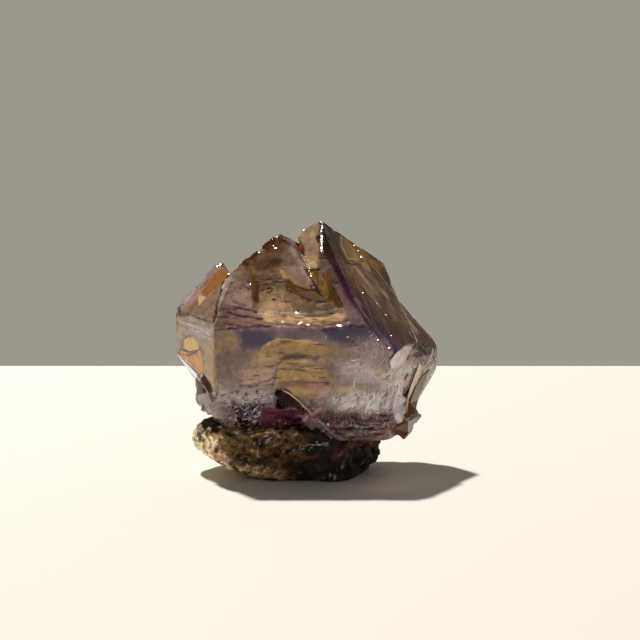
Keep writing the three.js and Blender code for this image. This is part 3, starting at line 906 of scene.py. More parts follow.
        (183, 347)]),
    "spur_dark": ("oxblood", 1.0, 0.05, 0.9, [(203, 375), (212, 393), (204, 393), (196, 395), (196, 389),
        (199, 381)]),
    "spur": ("grey_lilac", 0.95, 0.4, 1.2, [(195, 395), (204, 391), (220, 396), (223, 421), (205, 411)]),
    # The right end: a pale blade, a grey facet, a brown one and dark smoky glass.
    "right_end": ("taupe", 0.7, 0.6, 3, [(404, 344), (430, 348), (444, 344), (446, 398), (422, 400),
        (404, 400)]),
    "right_end_dark": ("umber", 0.95, 0.3, 2.5, [(412, 344), (420, 336), (434, 342), (436, 358),
        (428, 368), (416, 362)]),
    "right_end_umber": ("oxblood", 0.75, 0.4, 2.5, [(412, 338), (430, 340), (430, 356), (418, 360)]),
    "blade": ("frost", 0.9, 0.15, 1.0, [(390, 362), (394, 355), (404, 347), (417, 342), (409, 352),
        (406, 361), (400, 369), (391, 370)]),
    "beige_wedge": ("tan", 0.9, 0.25, 2, [(375, 370), (389, 366), (394, 374), (390, 388), (376, 390)]),
    "brown_wedge": ("oxblood", 0.95, 0.15, 0.9, [(413, 369), (417, 368), (416, 375), (411, 388),
        (405, 398), (404, 394), (410, 381)]),
    "brown_facet": ("sepia", 1.0, 0.1, 0.8, [(431, 368), (426, 379), (423, 389), (419, 403), (419, 411),
        (407, 420), (405, 417), (411, 404), (416, 389), (421, 379)]),
    "lower_right_pale": ("milk", 0.7, 0.5, 3, [(428, 374), (442, 370), (440, 388), (424, 400), (424, 386)]),
    "pendant_brown": ("sepia", 1.0, 0.1, 0.8, [(392, 430), (405, 420), (408, 422), (408, 434), (403, 441),
        (393, 433)]),
    "pendant_pale": ("rose", 0.9, 0.15, 0.8, [(408, 421), (420, 412), (422, 421), (418, 426), (408, 436)]),
    # The foot: milky and grey on the left, dark purple and red between it and the rock.
    "foot_milk": ("ash", 0.6, 0.35, 4, [(221, 390), (270, 391), (268, 404), (250, 408), (240, 409),
        (222, 403)]),
    "foot_blue": ("violet", 0.85, 0.45, 1.5, [(238, 406), (264, 406), (262, 420), (258, 428), (242, 426),
        (237, 416)]),
    "foot_black": ("ink", 0.9, 0.6, 1.5, [(238, 410), (243, 408), (247, 416), (252, 424), (250, 430),
        (241, 424)]),
    # Painted shade under the front face's lower edge, where the crystal's underside recedes.
    "triangle_shade": ("ink", 1.0, 0.3, 1.2, [(277, 388), (286, 389), (300, 401), (314, 414), (306, 412),
        (290, 410), (276, 410), (274, 400)]),
    "foot_plum": ("garnet", 1.0, 0.25, 1.2, [(262, 409), (303, 408), (314, 418), (302, 425), (260, 425)]),
    "foot_red": ("garnet", 0.9, 0.2, 1.5, [(250, 422), (308, 420), (302, 430), (252, 431)]),
    "pink_facet": ("rose", 0.6, 0.6, 1.5, [(300, 424), (312, 412), (322, 404), (325, 408), (314, 420),
        (304, 428)]),
    "right_foot": ("garnet", 0.95, 0.35, 2.5, [(316, 414), (334, 416), (394, 414), (398, 426), (390, 436),
        (346, 444), (330, 436)]),
    "right_foot_brown": ("sepia", 0.6, 0.55, 2.5, [(326, 412), (360, 412), (362, 418), (330, 419)]),
    "right_foot_red": ("oxblood", 0.75, 0.4, 2.5, [(326, 430), (352, 428), (394, 432), (370, 440),
        (346, 443)]),
    "right_foot_rose": ("rose", 0.5, 0.5, 2, [(372, 428), (394, 426), (392, 434), (374, 437)]),
    "band_top": ("umber", 0.55, 0.45, 1.4, [(268, 259), (281, 257), (283, 262), (270, 263)]),
    "plate_grey": ("grey_lilac", 0.4, 0.45, 3, [(284, 262), (294, 264), (302, 278), (290, 276)]),
    "below_ledge": ("rose", 0.5, 0.5, 2, [(226, 325), (262, 323), (330, 324), (342, 322), (342, 328),
        (228, 330)]),
    "milky_lump": ("milk", 0.85, 0.2, 2.0, [(396, 370), (408, 362), (416, 366), (412, 376), (408, 388),
        (402, 394), (394, 388)]),
    "beige_strip": ("cream", 0.95, 0.15, 0.9, [(416, 366), (420, 363), (423, 366), (421, 373), (415, 385),
        (411, 397), (407, 411), (401, 423), (406, 404), (411, 386), (416, 374)]),
    "beige_strip_upper": ("cream", 0.85, 0.15, 0.8, [(431, 365), (432, 367), (422, 379), (414, 388),
        (413, 386), (421, 375)]),
    "brown_facet_dark": ("umber", 0.9, 0.1, 1.2, [(428, 371), (424, 384), (419, 388), (421, 378)]),
    "foot_gold_red": ("bronze", 0.9, 0.2, 1.2, [(250, 428), (276, 425), (298, 425), (276, 431),
        (254, 432)]),
    "right_foot_plum": ("plum", 0.8, 0.3, 2, [(318, 416), (350, 419), (388, 414), (392, 418), (350, 424),
        (324, 422)]),
    "foot_lower": ("mauve", 0.8, 0.4, 2, [(222, 408), (242, 408), (240, 426), (226, 422)]),
    "front_milk_right": ("frost", 0.65, 0.3, 4, [(374, 376), (396, 368), (398, 390), (380, 392)]),
    "front_low_light": ("milk", 0.35, 0.5, 6, [(222, 376), (250, 380), (250, 394), (224, 392)]),
    "window_light": ("cream", 0.45, 0.3, 3, [(264, 290), (284, 290), (302, 300), (300, 308), (266, 308)]),
    "right_end_plum": ("plum", 0.5, 0.3, 2.0, [(414, 346), (424, 344), (428, 358), (416, 360)]),
}

# Fields of fine streaks on the front: tone, strength, slope in degrees, a streak's length and width in
# pixels, how much of the field they fill, and outline.
STREAKS = {
    "upper_cracks": ("plum", 0.6, -8, 22, 2.2, 0.25, [(216, 296), (250, 298), (262, 322), (260, 328),
        (214, 328)]),
    "upper_mottle": ("sepia", 0.5, 12, 12, 4, 0.4, [(232, 268), (278, 238), (300, 262), (284, 278),
        (232, 290)]),
    "upper_pale": ("milk", 0.35, -30, 16, 5, 0.4, [(220, 290), (240, 264), (252, 280), (250, 310),
        (218, 320)]),
    "window_pale": ("cream", 0.5, 5, 12, 4, 0.4, [(258, 292), (284, 288), (330, 306), (326, 314),
        (262, 310)]),
    "window_dark": ("sepia", 0.6, -10, 10, 3, 0.35, [(257, 278), (286, 280), (300, 294), (318, 304),
        (262, 308)]),
    "ledge_streaks": ("sepia", 0.4, 0, 16, 2, 0.35, [(262, 314), (343, 310), (342, 321), (266, 321)]),
    "tip_light": ("drab", 0.8, -52, 22, 2.4, 0.38, [(344, 260), (372, 258), (400, 292), (426, 330),
        (404, 340), (372, 306)]),
    "tip_dark": ("umber", 0.75, -52, 26, 2.6, 0.36, [(344, 262), (372, 256), (402, 292), (430, 336),
        (404, 342), (362, 304)]),
    "tip_glow": ("gold", 0.6, -50, 16, 5, 0.36, [(346, 236), (372, 254), (404, 298), (424, 330),
        (390, 312)]),
    "front_dark": ("smoke", 0.35, 4, 26, 5, 0.35, [(218, 334), (330, 334), (330, 400), (218, 400)]),
    "front_light": ("frost", 0.35, 20, 22, 5, 0.35, [(218, 350), (392, 346), (388, 400), (218, 400)]),
    "front_purple": ("plum", 0.5, 8, 12, 5, 0.4, [(232, 328), (392, 326), (384, 346), (236, 348)]),
    "front_wisps": ("frost", 0.5, 48, 16, 2.4, 0.3, [(346, 336), (376, 334), (392, 352), (384, 376),
        (352, 370)]),
    "corner_wisps": ("rose", 0.7, -50, 20, 1.8, 0.35, [(366, 326), (386, 332), (402, 348), (388, 358),
        (372, 344)]),
    "milk_low": ("frost", 0.9, 68, 13, 1.9, 0.4, [(326, 394), (350, 391), (394, 390), (390, 414),
        (330, 412)]),
    "milk_low_dark": ("smoke", 0.6, 74, 10, 2.2, 0.35, [(326, 394), (394, 390), (392, 416), (326, 414)]),
    "lens_dark": ("sepia", 0.75, -2, 34, 2.0, 0.4, [(274, 362), (318, 362), (332, 378), (328, 396),
        (282, 392)]),
    "left_growth": ("frost", 0.6, -28, 18, 1.7, 0.4, [(178, 318), (212, 322), (216, 344), (200, 340),
        (180, 330)]),
    "left_growth_dark": ("smoke", 0.5, -28, 18, 1.7, 0.35, [(178, 318), (212, 322), (216, 344),
        (182, 334)]),
    "left_stain_dark": ("umber", 0.8, -4, 12, 2.2, 0.4, [(179, 338), (196, 334), (204, 352), (204, 378),
        (184, 362)]),
    "left_tip_streaks": ("rust", 0.5, 48, 20, 2.6, 0.35, [(176, 316), (220, 262), (232, 270), (214, 300),
        (212, 320)]),
    "foot_light": ("frost", 0.75, 25, 6, 1.8, 0.3, [(220, 392), (272, 390), (272, 406), (240, 408),
        (222, 406)]),
    "foot_dark": ("smoke", 0.6, -30, 7, 2.2, 0.3, [(220, 392), (272, 390), (272, 408), (222, 410)]),
    "right_foot_light": ("rose", 0.7, -2, 16, 1.9, 0.35, [(318, 416), (394, 416), (392, 436), (346, 442),
        (330, 432)]),
    "right_foot_dark": ("ink", 0.6, 4, 14, 2.4, 0.35, [(318, 416), (394, 416), (392, 436), (346, 442)]),
    "end_wisps": ("frost", 0.7, 58, 12, 1.8, 0.32, [(412, 344), (434, 342), (442, 360), (438, 388),
        (420, 400)]),
    "end_dark": ("umber", 0.6, -60, 14, 2.6, 0.35, [(410, 340), (434, 336), (438, 362), (424, 380),
        (410, 366)]),
    "brown_facet_marks": ("umber", 0.8, 20, 5, 1.9, 0.4, [(430, 370), (421, 400), (408, 419), (412, 396)]),
    "band_light": ("rose", 0.6, -56, 22, 1.6, 0.28, [(336, 266), (352, 290), (386, 330), (370, 326),
        (346, 298)]),
    "lump_marks": ("wine", 0.6, 40, 7, 1.9, 0.3, [(394, 370), (416, 364), (412, 386), (402, 396)]),
    "clump_light": ("frost", 1.0, -35, 7, 1.6, 0.42, [(241, 408), (262, 407), (262, 418), (256, 428),
        (246, 424)]),
    "summit_streaks": ("cream", 0.5, 76, 16, 3, 0.35, [(302, 236), (316, 224), (318, 252), (308, 264)]),
}

# Where the quartz is full of healed cracks: how full, from 0 to 1, and outline in pixels.
WISPS = {
    "low_right": (1.0, [(326, 396), (350, 391), (394, 388), (392, 414), (330, 412)]),
    "middle_right": (0.75, [(334, 362), (366, 358), (384, 370), (398, 366), (396, 392), (360, 384)]),
    "front_upper": (0.45, [(348, 336), (372, 334), (390, 352), (384, 372), (352, 364)]),
    "low_left": (0.55, [(222, 394), (266, 393), (266, 405), (250, 410), (228, 408)]),
    "right_foot": (0.5, [(320, 418), (392, 416), (390, 436), (350, 440)]),
    "right_end": (0.25, [(410, 342), (434, 342), (440, 362), (432, 392), (416, 388)]),
    "upper_face": (0.1, [(216, 322), (240, 264), (276, 238), (300, 262), (342, 306), (350, 322)]),
}

# Cracks, growth edges and bright rims on the front: tone, strength, width and line, in pixels. The lines
# named for a glint, and those marked below, are painted highlights; those named for shade are painted shade.
LINES = {
    "crack_1": ("plum", 0.9, 1.1, [(233, 306), (242, 308), (257, 312)]),
    "crack_2": ("plum", 0.9, 1.2, [(228, 312), (241, 316), (263, 319)]),
    "crack_3": ("plum", 0.6, 0.8, [(220, 308), (236, 309), (246, 308)]),
    "crack_4": ("plum", 0.6, 0.8, [(215, 316), (226, 317), (236, 319)]),
    "crack_5": ("plum", 0.5, 0.8, [(232, 301), (246, 305)]),
    "front_top_edge": ("plum", 0.85, 1.1, [(215, 330), (232, 328), (262, 326), (276, 327)]),
    # A painted highlight along the front face's top edge.
    "front_top_highlight": ("frost", 0.6, 0.9, [(272, 326), (300, 327), (318, 328), (338, 326)]),
    "window_top_1": ("umber", 0.8, 0.9, [(258, 282), (272, 279), (281, 278)]),
    "window_top_2": ("umber", 0.8, 1.1, [(264, 284), (275, 283), (284, 282)]),
    "pit": ("umber", 0.85, 1.0, [(267, 289), (270, 287), (272, 290), (270, 293), (267, 292)]),
    "window_glint": ("frost", 0.7, 0.9, [(270, 297), (276, 297)]),
    # A painted highlight along the ledge's upper rim.
    "ledge_highlight": ("frost", 0.75, 0.9, [(260, 309), (270, 312), (290, 313), (305, 314), (325, 311),
        (343, 308)]),
    "ledge_glint": ("frost", 0.95, 1.1, [(296, 314), (305, 314)]),
    # A painted glint on the ledge's corner.
    "ledge_corner_glint": ("frost", 0.7, 1.6, [(317, 305), (325, 302)]),
    "ledge_foot": ("sepia", 0.6, 0.9, [(264, 322), (282, 324), (318, 325), (344, 322)]),
    "plate_edge": ("ink", 0.9, 0.9, [(286, 290), (297, 294), (310, 301), (326, 302)]),
    "cleft_line": ("ink", 0.9, 1.1, [(306, 270), (312, 279), (319, 291)]),
    "cleft_glint": ("cream", 0.7, 0.7, [(309, 278), (314, 288)]),
    "cleft_top": ("ink", 0.9, 1.1, [(305, 268), (312, 270), (319, 269)]),
    # A painted glint along the summit's ridge.
    "summit_edge_glint": ("frost", 0.9, 0.9, [(321, 229), (322, 252)]),
    "summit_ridge": ("ink", 0.6, 0.7, [(320, 220), (320, 232)]),
    "upper_left_rim": ("rust", 0.85, 1.1, [(236, 268), (250, 256), (262, 246), (270, 238), (277, 235)]),
    "upper_right_rim": ("umber", 0.6, 0.8, [(278, 235), (288, 240), (297, 249), (304, 262)]),
    "right_wall_line": ("umber", 0.8, 0.8, [(331, 282), (337, 294), (343, 307)]),
    "olive_plate_rim": ("tan", 0.6, 0.9, [(341, 236), (342, 246), (348, 257), (358, 260)]),
    "olive_plate_shade": ("umber", 0.9, 1.0, [(339, 238), (340, 250), (346, 262), (362, 265)]),
    "tip_seam_4": ("umber", 0.5, 1.0, [(372, 270), (390, 296), (408, 320)]),
    "tip_seam_5": ("umber", 0.5, 1.0, [(358, 282), (376, 304), (392, 324)]),
    # A painted highlight along the gold tongue's upper rim.
    "tongue_highlight": ("straw", 0.95, 1.1, [(268, 344), (280, 339), (290, 340), (304, 341), (318, 343)]),
    "lens_line_1": ("umber", 0.7, 0.8, [(276, 369), (290, 370), (304, 370)]),
    "lens_line_2": ("umber", 0.7, 0.9, [(278, 383), (296, 382), (314, 383), (330, 383)]),
    "lens_left_edge": ("umber", 0.7, 0.8, [(272, 388), (275, 378), (277, 366), (284, 359)]),
    "tan_line_1": ("plum", 0.7, 0.8, [(240, 386), (256, 384), (268, 381), (273, 378), (280, 377)]),
    "tan_line_2": ("sepia", 0.6, 0.7, [(248, 366), (262, 368), (274, 366)]),
    "dot_1": ("ink", 0.8, 1.0, [(313, 376), (315, 376)]),
    "dot_3": ("ink", 0.8, 1.1, [(272, 377), (274, 379)]),
    "corner_line_1": ("rose", 0.7, 0.8, [(374, 333), (386, 346), (392, 354)]),
    "corner_line_2": ("rose", 0.5, 0.7, [(380, 332), (395, 348)]),
    "blade_shade": ("ink", 1.0, 1.3, [(391, 359), (396, 354), (403, 346)]),
    "left_face_top": ("umber", 0.85, 0.9, [(177, 314), (194, 316), (204, 320), (214, 322)]),
    "left_crystal_edge": ("ink", 0.85, 1.2, [(231, 271), (223, 283), (218, 300), (213, 320)]),
    "left_crystal_glint": ("frost", 0.7, 0.7, [(226, 279), (222, 288)]),
    "left_growth_1": ("frost", 0.5, 0.8, [(182, 322), (196, 327), (210, 335)]),
    "left_growth_2": ("frost", 0.4, 0.7, [(188, 327), (202, 333), (210, 340)]),
    "left_growth_3": ("smoke", 0.5, 0.7, [(184, 325), (198, 330), (210, 338)]),
    "left_stain_line": ("umber", 0.95, 1.1, [(180, 350), (188, 352), (198, 350), (201, 347)]),
    "left_stain_rim": ("frost", 1.0, 1.4, [(177, 357), (189, 369), (201, 381)]),
    "left_front_edge": ("smoke", 0.5, 0.8, [(216, 330), (217, 360), (218, 394)]),
    "spur_rim": ("frost", 0.8, 1.0, [(203, 391), (212, 392), (220, 398)]),
    "spur_foot": ("gold", 0.7, 0.9, [(203, 410), (212, 416), (222, 422)]),
    "right_end_edge": ("ink", 0.8, 0.9, [(438, 352), (439, 366)]),
    "triangle_rim": ("cream", 0.7, 0.8, [(279, 389), (290, 394), (302, 404), (313, 414), (324, 426)]),
    "foot_rim": ("honey", 0.9, 1.2, [(250, 431), (262, 430), (276, 427), (298, 429)]),
    "pink_facet_rim": ("cream", 0.6, 0.8, [(302, 422), (314, 411), (322, 404)]),
    "right_foot_rim": ("rose", 0.7, 0.9, [(318, 421), (330, 432), (343, 443)]),
    "right_foot_line_1": ("rose", 0.5, 0.8, [(334, 436), (352, 435), (386, 437)]),
    "right_foot_line_2": ("rose", 0.5, 0.8, [(330, 427), (350, 426), (370, 429), (392, 423)]),
    "right_foot_line_3": ("rose", 0.4, 0.8, [(336, 420), (360, 421), (390, 417)]),
    "blade_ridge": ("cream", 0.9, 0.9, [(403, 361), (407, 354), (412, 350)]),
    "pendant_edge": ("umber", 0.8, 0.8, [(404, 420), (408, 422), (408, 434)]),
    "bulge_wisp_1": ("milk", 0.8, 0.9, [(420, 374), (426, 366), (432, 356), (434, 348)]),
    "bulge_wisp_2": ("milk", 0.6, 0.8, [(426, 376), (432, 368), (436, 358)]),
    "bulge_wisp_3": ("rose", 0.6, 0.8, [(416, 350), (422, 352), (426, 360)]),
    "plum_rim": ("rose", 0.7, 0.8, [(266, 410), (284, 410), (300, 411)]),
}

# Hollows that slope back from their lower edge: depth at the top in millimetres, and outline in pixels.
HOLLOWS = {
    "foot": (1.2, [(228, 398), (252, 400), (274, 392), (278, 389), (288, 391), (302, 403), (314, 414),
        (308, 424), (250, 426), (236, 420)]),
    "right_foot": (1.0, [(318, 415), (334, 416), (394, 414), (396, 424), (388, 434), (346, 442),
        (332, 432)]),
}

# Where small crystals crowd on the large ones' left foot, in pixels.
DRUSE_FIELD = [(218, 394), (262, 392), (270, 408), (256, 420), (236, 418), (220, 408)]

# Small flat facets and plates that stand on the large crystals: tone, how clear, and outline in pixels.
FACETS = {
    "blade": ("frost", 0.05, [(390, 361), (396, 353), (405, 347), (417, 341), (411, 350), (404, 359),
        (398, 367), (391, 369)]),
    "blade_ridge": ("cream", 0.1, [(402, 363), (406, 354), (413, 345), (409, 353), (406, 361)]),
    "brown_wedge": ("oxblood", 0.1, [(413, 369), (417, 367), (416, 375), (411, 388), (405, 398),
        (403, 395), (409, 382)]),
    "cream_strip": ("cream", 0.1, [(419, 364), (422, 366), (420, 374), (414, 386), (411, 398), (407, 410),
        (403, 420), (402, 418), (406, 404), (410, 388), (415, 375)]),
    "grey_facet": ("frost", 0.1, [(399, 390), (404, 395), (409, 401), (407, 410), (402, 422), (398, 424),
        (391, 417), (392, 409), (395, 395)]),
    "brown_facet": ("sepia", 0.1, [(430, 369), (425, 379), (421, 389), (417, 401), (416, 410), (407, 418),
        (404, 416), (410, 403), (415, 389), (421, 378)]),
    "brown_facet_upper": ("umber", 0.1, [(430, 369), (425, 378), (421, 388), (417, 388), (421, 378)]),
    "pendant_front": ("sepia", 0.1, [(393, 429), (404, 421), (408, 422), (408, 432), (403, 438),
        (395, 433)]),
    "pendant_side": ("ash", 0.2, [(408, 422), (419, 414), (420, 417), (416, 424), (408, 432)]),
    "left_rim": ("frost", 0.1, [(178, 354), (181, 356), (193, 366), (203, 375), (202, 378), (190, 369)]),
    "left_tip_gold": ("amber", 0.15, [(217, 274), (224, 271), (226, 278), (218, 286), (211, 291),
        (204, 296), (201, 292), (209, 283)]),
    "left_tip_pale": ("tan", 0.2, [(198, 295), (206, 297), (199, 306)]),
    "triangle_rim": ("cream", 0.15, [(279, 388.6), (290, 393), (302, 403), (313, 414.5), (312, 415),
        (301, 404.5), (289, 394.3)]),
    "pink_facet": ("rose", 0.3, [(302, 424), (309, 416), (321, 406), (323, 408), (314, 416), (305, 427)]),
    "left_wall": ("bronze", 0.2, [(252, 281), (258, 281), (259, 303), (253, 297)]),
    "upper_wall": ("honey", 0.2, [(279, 268), (284, 270), (288, 279), (283, 279)]),
    "plate_foot": ("bronze", 0.2, [(285, 280), (300, 287), (314, 291), (327, 300), (320, 301), (306, 297),
        (296, 292), (287, 286)]),
    "right_wall": ("bronze", 0.2, [(326, 272), (329, 272), (332, 287), (342, 307), (339, 308), (331, 297),
        (327, 284)]),
    "red_facet": ("rust", 0.2, [(295, 239), (299, 239), (304, 247), (304, 254), (299, 250)]),
    "plum_plate": ("garnet", 0.2, [(261, 412), (267, 409), (301, 410), (304, 414), (300, 421), (288, 423),
        (262, 423)]),
    "triangle_glow": ("dusk", 0.3, [(282, 401), (290, 404), (296, 408), (286, 407)]),
    "left_amber": ("goethite", 0.15, [(180, 350), (188, 353), (200, 350), (203, 360), (203, 374),
        (191, 365), (182, 357)]),
    "left_pale": ("straw", 0.15, [(184, 339), (193, 337), (198, 344), (199, 349), (190, 351), (184, 348)]),
    "left_shade": ("dark_amber", 0.25, [(180, 349), (189, 353), (200, 350), (200, 352.5), (189, 356),
        (182, 354)]),
    "foot_edge": ("bronze", 0.15, [(250, 428), (262, 429), (276, 426), (298, 426), (297, 428), (276, 429),
        (262, 432), (251, 431)]),
    "foot_edge_light": ("cream", 0.15, [(256, 429.5), (266, 429), (274, 427), (274, 428.2), (266, 430.2)]),
    # A dark plate in the recess under the front face's lower edge: painted shade.
    "triangle_shade_plate": ("oxblood", 0.2, [(279, 392), (286, 393), (297, 402), (291, 407), (279, 405)]),
    "left_amber_light": ("honey", 0.15, [(189, 358), (202, 358), (202, 364), (193, 364)]),
    "left_tip_rust": ("rust", 0.2, [(222, 263), (227, 263), (232, 270), (225, 278), (222, 272)]),
    "spur_plate": ("oxblood", 0.1, [(203, 375), (208, 382), (212, 393), (204, 393), (196, 395),
        (197, 387)]),
}

# Fields of slivers, the edges of healed cracks that break the surface, though the field named for glints
# holds painted glints and the one named for shade painted shade: tone, how many, slope in degrees and its
# spread, a sliver's length and width in pixels, how far it bends, and outline.
SLIVERS = {
    "milk_low": ("frost", 60, 62, 32, 6, 0.9, 1.4, [(326, 395), (350, 390), (394, 388), (390, 413),
        (330, 413)]),
    "milk_low_dark": ("taupe", 30, 60, 40, 7, 0.7, 1.6, [(326, 394), (396, 390), (392, 415), (330, 415)]),
    "milk_upper": ("frost", 16, 8, 18, 6, 1.0, 0.8, [(334, 360), (366, 359), (368, 372), (338, 370)]),
    "milk_middle": ("frost", 12, 76, 12, 9, 0.9, 0.8, [(342, 366), (366, 364), (364, 384), (346, 384)]),
    "milk_right": ("frost", 24, 42, 30, 7, 0.9, 1.0, [(374, 374), (396, 364), (400, 392), (378, 392)]),
    "milk_right_dark": ("dusk", 7, 45, 35, 6, 0.8, 1.0, [(376, 374), (410, 364), (404, 392), (380, 392)]),
    "lump_light": ("frost", 10, 50, 30, 5, 1.0, 1.0, [(398, 370), (412, 364), (412, 380), (402, 390)]),
    "corner": ("rose", 5, -54, 6, 13, 0.4, 0.6, [(370, 330), (384, 332), (400, 348), (386, 352)]),
    "corner_light": ("frost", 5, -60, 20, 6, 0.8, 0.8, [(374, 334), (392, 346), (388, 356), (376, 348)]),
    # Painted glints: small white slivers on the front face.
    "front_glints": ("frost", 6, 20, 50, 3, 1.0, 0.4, [(340, 334), (372, 334), (376, 352), (344, 350)]),
    "right_foot_light": ("mauve", 18, 0, 16, 10, 1.0, 1.8, [(322, 417), (394, 414), (390, 434),
        (346, 441)]),
    "right_foot_pale": ("cream", 9, 5, 30, 3.5, 1.0, 1.0, [(334, 420), (386, 418), (384, 428), (344, 430)]),
    "right_foot_dark": ("ink", 15, 0, 14, 9, 1.2, 1.5, [(326, 424), (392, 420), (386, 438), (346, 441)]),
    "clump": ("frost", 13, 30, 30, 7, 1.0, 2.6, [(241, 407), (262, 407), (261, 418), (246, 422)]),
    "clump_dark": ("ink", 12, 30, 40, 6, 1.4, 1.5, [(239, 410), (262, 416), (258, 429), (243, 429)]),
    "foot_pale": ("frost", 22, 10, 60, 3, 0.9, 0.8, [(222, 394), (272, 393), (270, 408), (226, 408)]),
    "foot_shade": ("smoke", 8, 10, 60, 3, 0.8, 0.8, [(222, 394), (272, 393), (270, 408), (226, 408)]),
    "foot_left": ("milk", 10, 60, 40, 4, 1.0, 1.0, [(228, 406), (240, 406), (240, 426), (232, 424)]),
    "foot_left_dark": ("oxblood", 12, 40, 40, 5, 1.2, 1.0, [(226, 408), (242, 408), (250, 430),
        (236, 428)]),
    "plum_lines": ("grape", 5, 2, 5, 16, 0.8, 0.6, [(266, 411), (300, 411), (300, 421), (266, 422)]),
    "plum_foot": ("bronze", 8, 3, 8, 10, 1.0, 0.6, [(252, 425), (300, 425), (298, 430), (254, 431)]),
    "tip_dark": ("umber", 12, -52, 6, 15, 0.4, 0.8, [(348, 262), (374, 260), (404, 298), (428, 336),
        (402, 338)]),
    "tip_light": ("tan", 8, -52, 6, 13, 0.4, 0.8, [(350, 266), (374, 264), (402, 300), (420, 330),
        (396, 322)]),
    "gold_dark": ("sepia", 10, 2, 6, 13, 0.8, 0.8, [(262, 358), (274, 344), (324, 345), (330, 376),
        (322, 393), (284, 390)]),
    "gold_light": ("straw", 6, 2, 6, 10, 0.8, 0.8, [(264, 348), (320, 344), (326, 370), (320, 388),
        (284, 386)]),
    "tan_lines": ("sepia", 7, 4, 10, 11, 0.8, 0.8, [(240, 376), (272, 374), (274, 390), (246, 390)]),
    "stain_light": ("cream", 5, -4, 20, 4, 1.2, 1.0, [(184, 338), (196, 337), (200, 348), (190, 352)]),
    "stain_dark": ("dark_amber", 5, -4, 20, 8, 1.0, 1.0, [(183, 352), (200, 352), (203, 374), (190, 364)]),
    "upper_marks": ("sepia", 8, 20, 50, 4, 0.8, 1.0, [(238, 262), (276, 240), (300, 262), (284, 276),
        (240, 290)]),
    "window_marks": ("sepia", 5, -8, 25, 5, 0.8, 0.8, [(260, 280), (284, 282), (304, 296), (300, 304),
        (262, 304)]),
    "window_lights": ("cream", 9, 0, 30, 5, 0.9, 0.8, [(260, 286), (286, 288), (322, 304), (318, 310),
        (264, 310)]),
    "ledge_marks": ("sepia", 4, 0, 6, 9, 0.7, 0.4, [(264, 315), (342, 311), (341, 320), (268, 321)]),
    "end_wisps": ("frost", 8, 60, 14, 12, 0.8, 2.0, [(416, 350), (434, 346), (440, 376), (424, 392)]),
    "end_dark": ("umber", 10, -60, 25, 8, 1.2, 1.5, [(412, 344), (432, 342), (434, 360), (418, 364)]),
    "blade_lines": ("grey_lilac", 7, 46, 5, 13, 0.8, 0.5, [(392, 364), (398, 354), (412, 345), (402, 364)]),
    "growth": ("frost", 9, -28, 5, 12, 0.7, 0.5, [(180, 320), (208, 324), (214, 340), (190, 334)]),
    "blade_light": ("frost", 5, 46, 5, 13, 0.8, 0.5, [(398, 360), (406, 350), (412, 346), (404, 362)]),
    "fan": ("frost", 10, 52, 14, 13, 0.8, 1.5, [(376, 348), (392, 358), (392, 372), (372, 376),
        (364, 362)]),
    "foot_red_light": ("honey", 6, 2, 8, 8, 0.8, 0.5, [(252, 426), (298, 425), (298, 430), (254, 431)]),
}

# Rims with a row of small knobs: tone, knobs' width in millimetres, their spacing and the line in pixels.
RIMS = {
    "upper_left": ("rust", 1.0, 3.2, [(244, 262), (252, 257), (260, 250), (268, 243), (276, 237)]),
    "upper_peak": ("umber", 0.6, 3.5, [(276, 237), (284, 240), (290, 244)]),
    "left_peak": ("umber", 0.6, 3.0, [(219, 265), (226, 264), (231, 270)]),
}

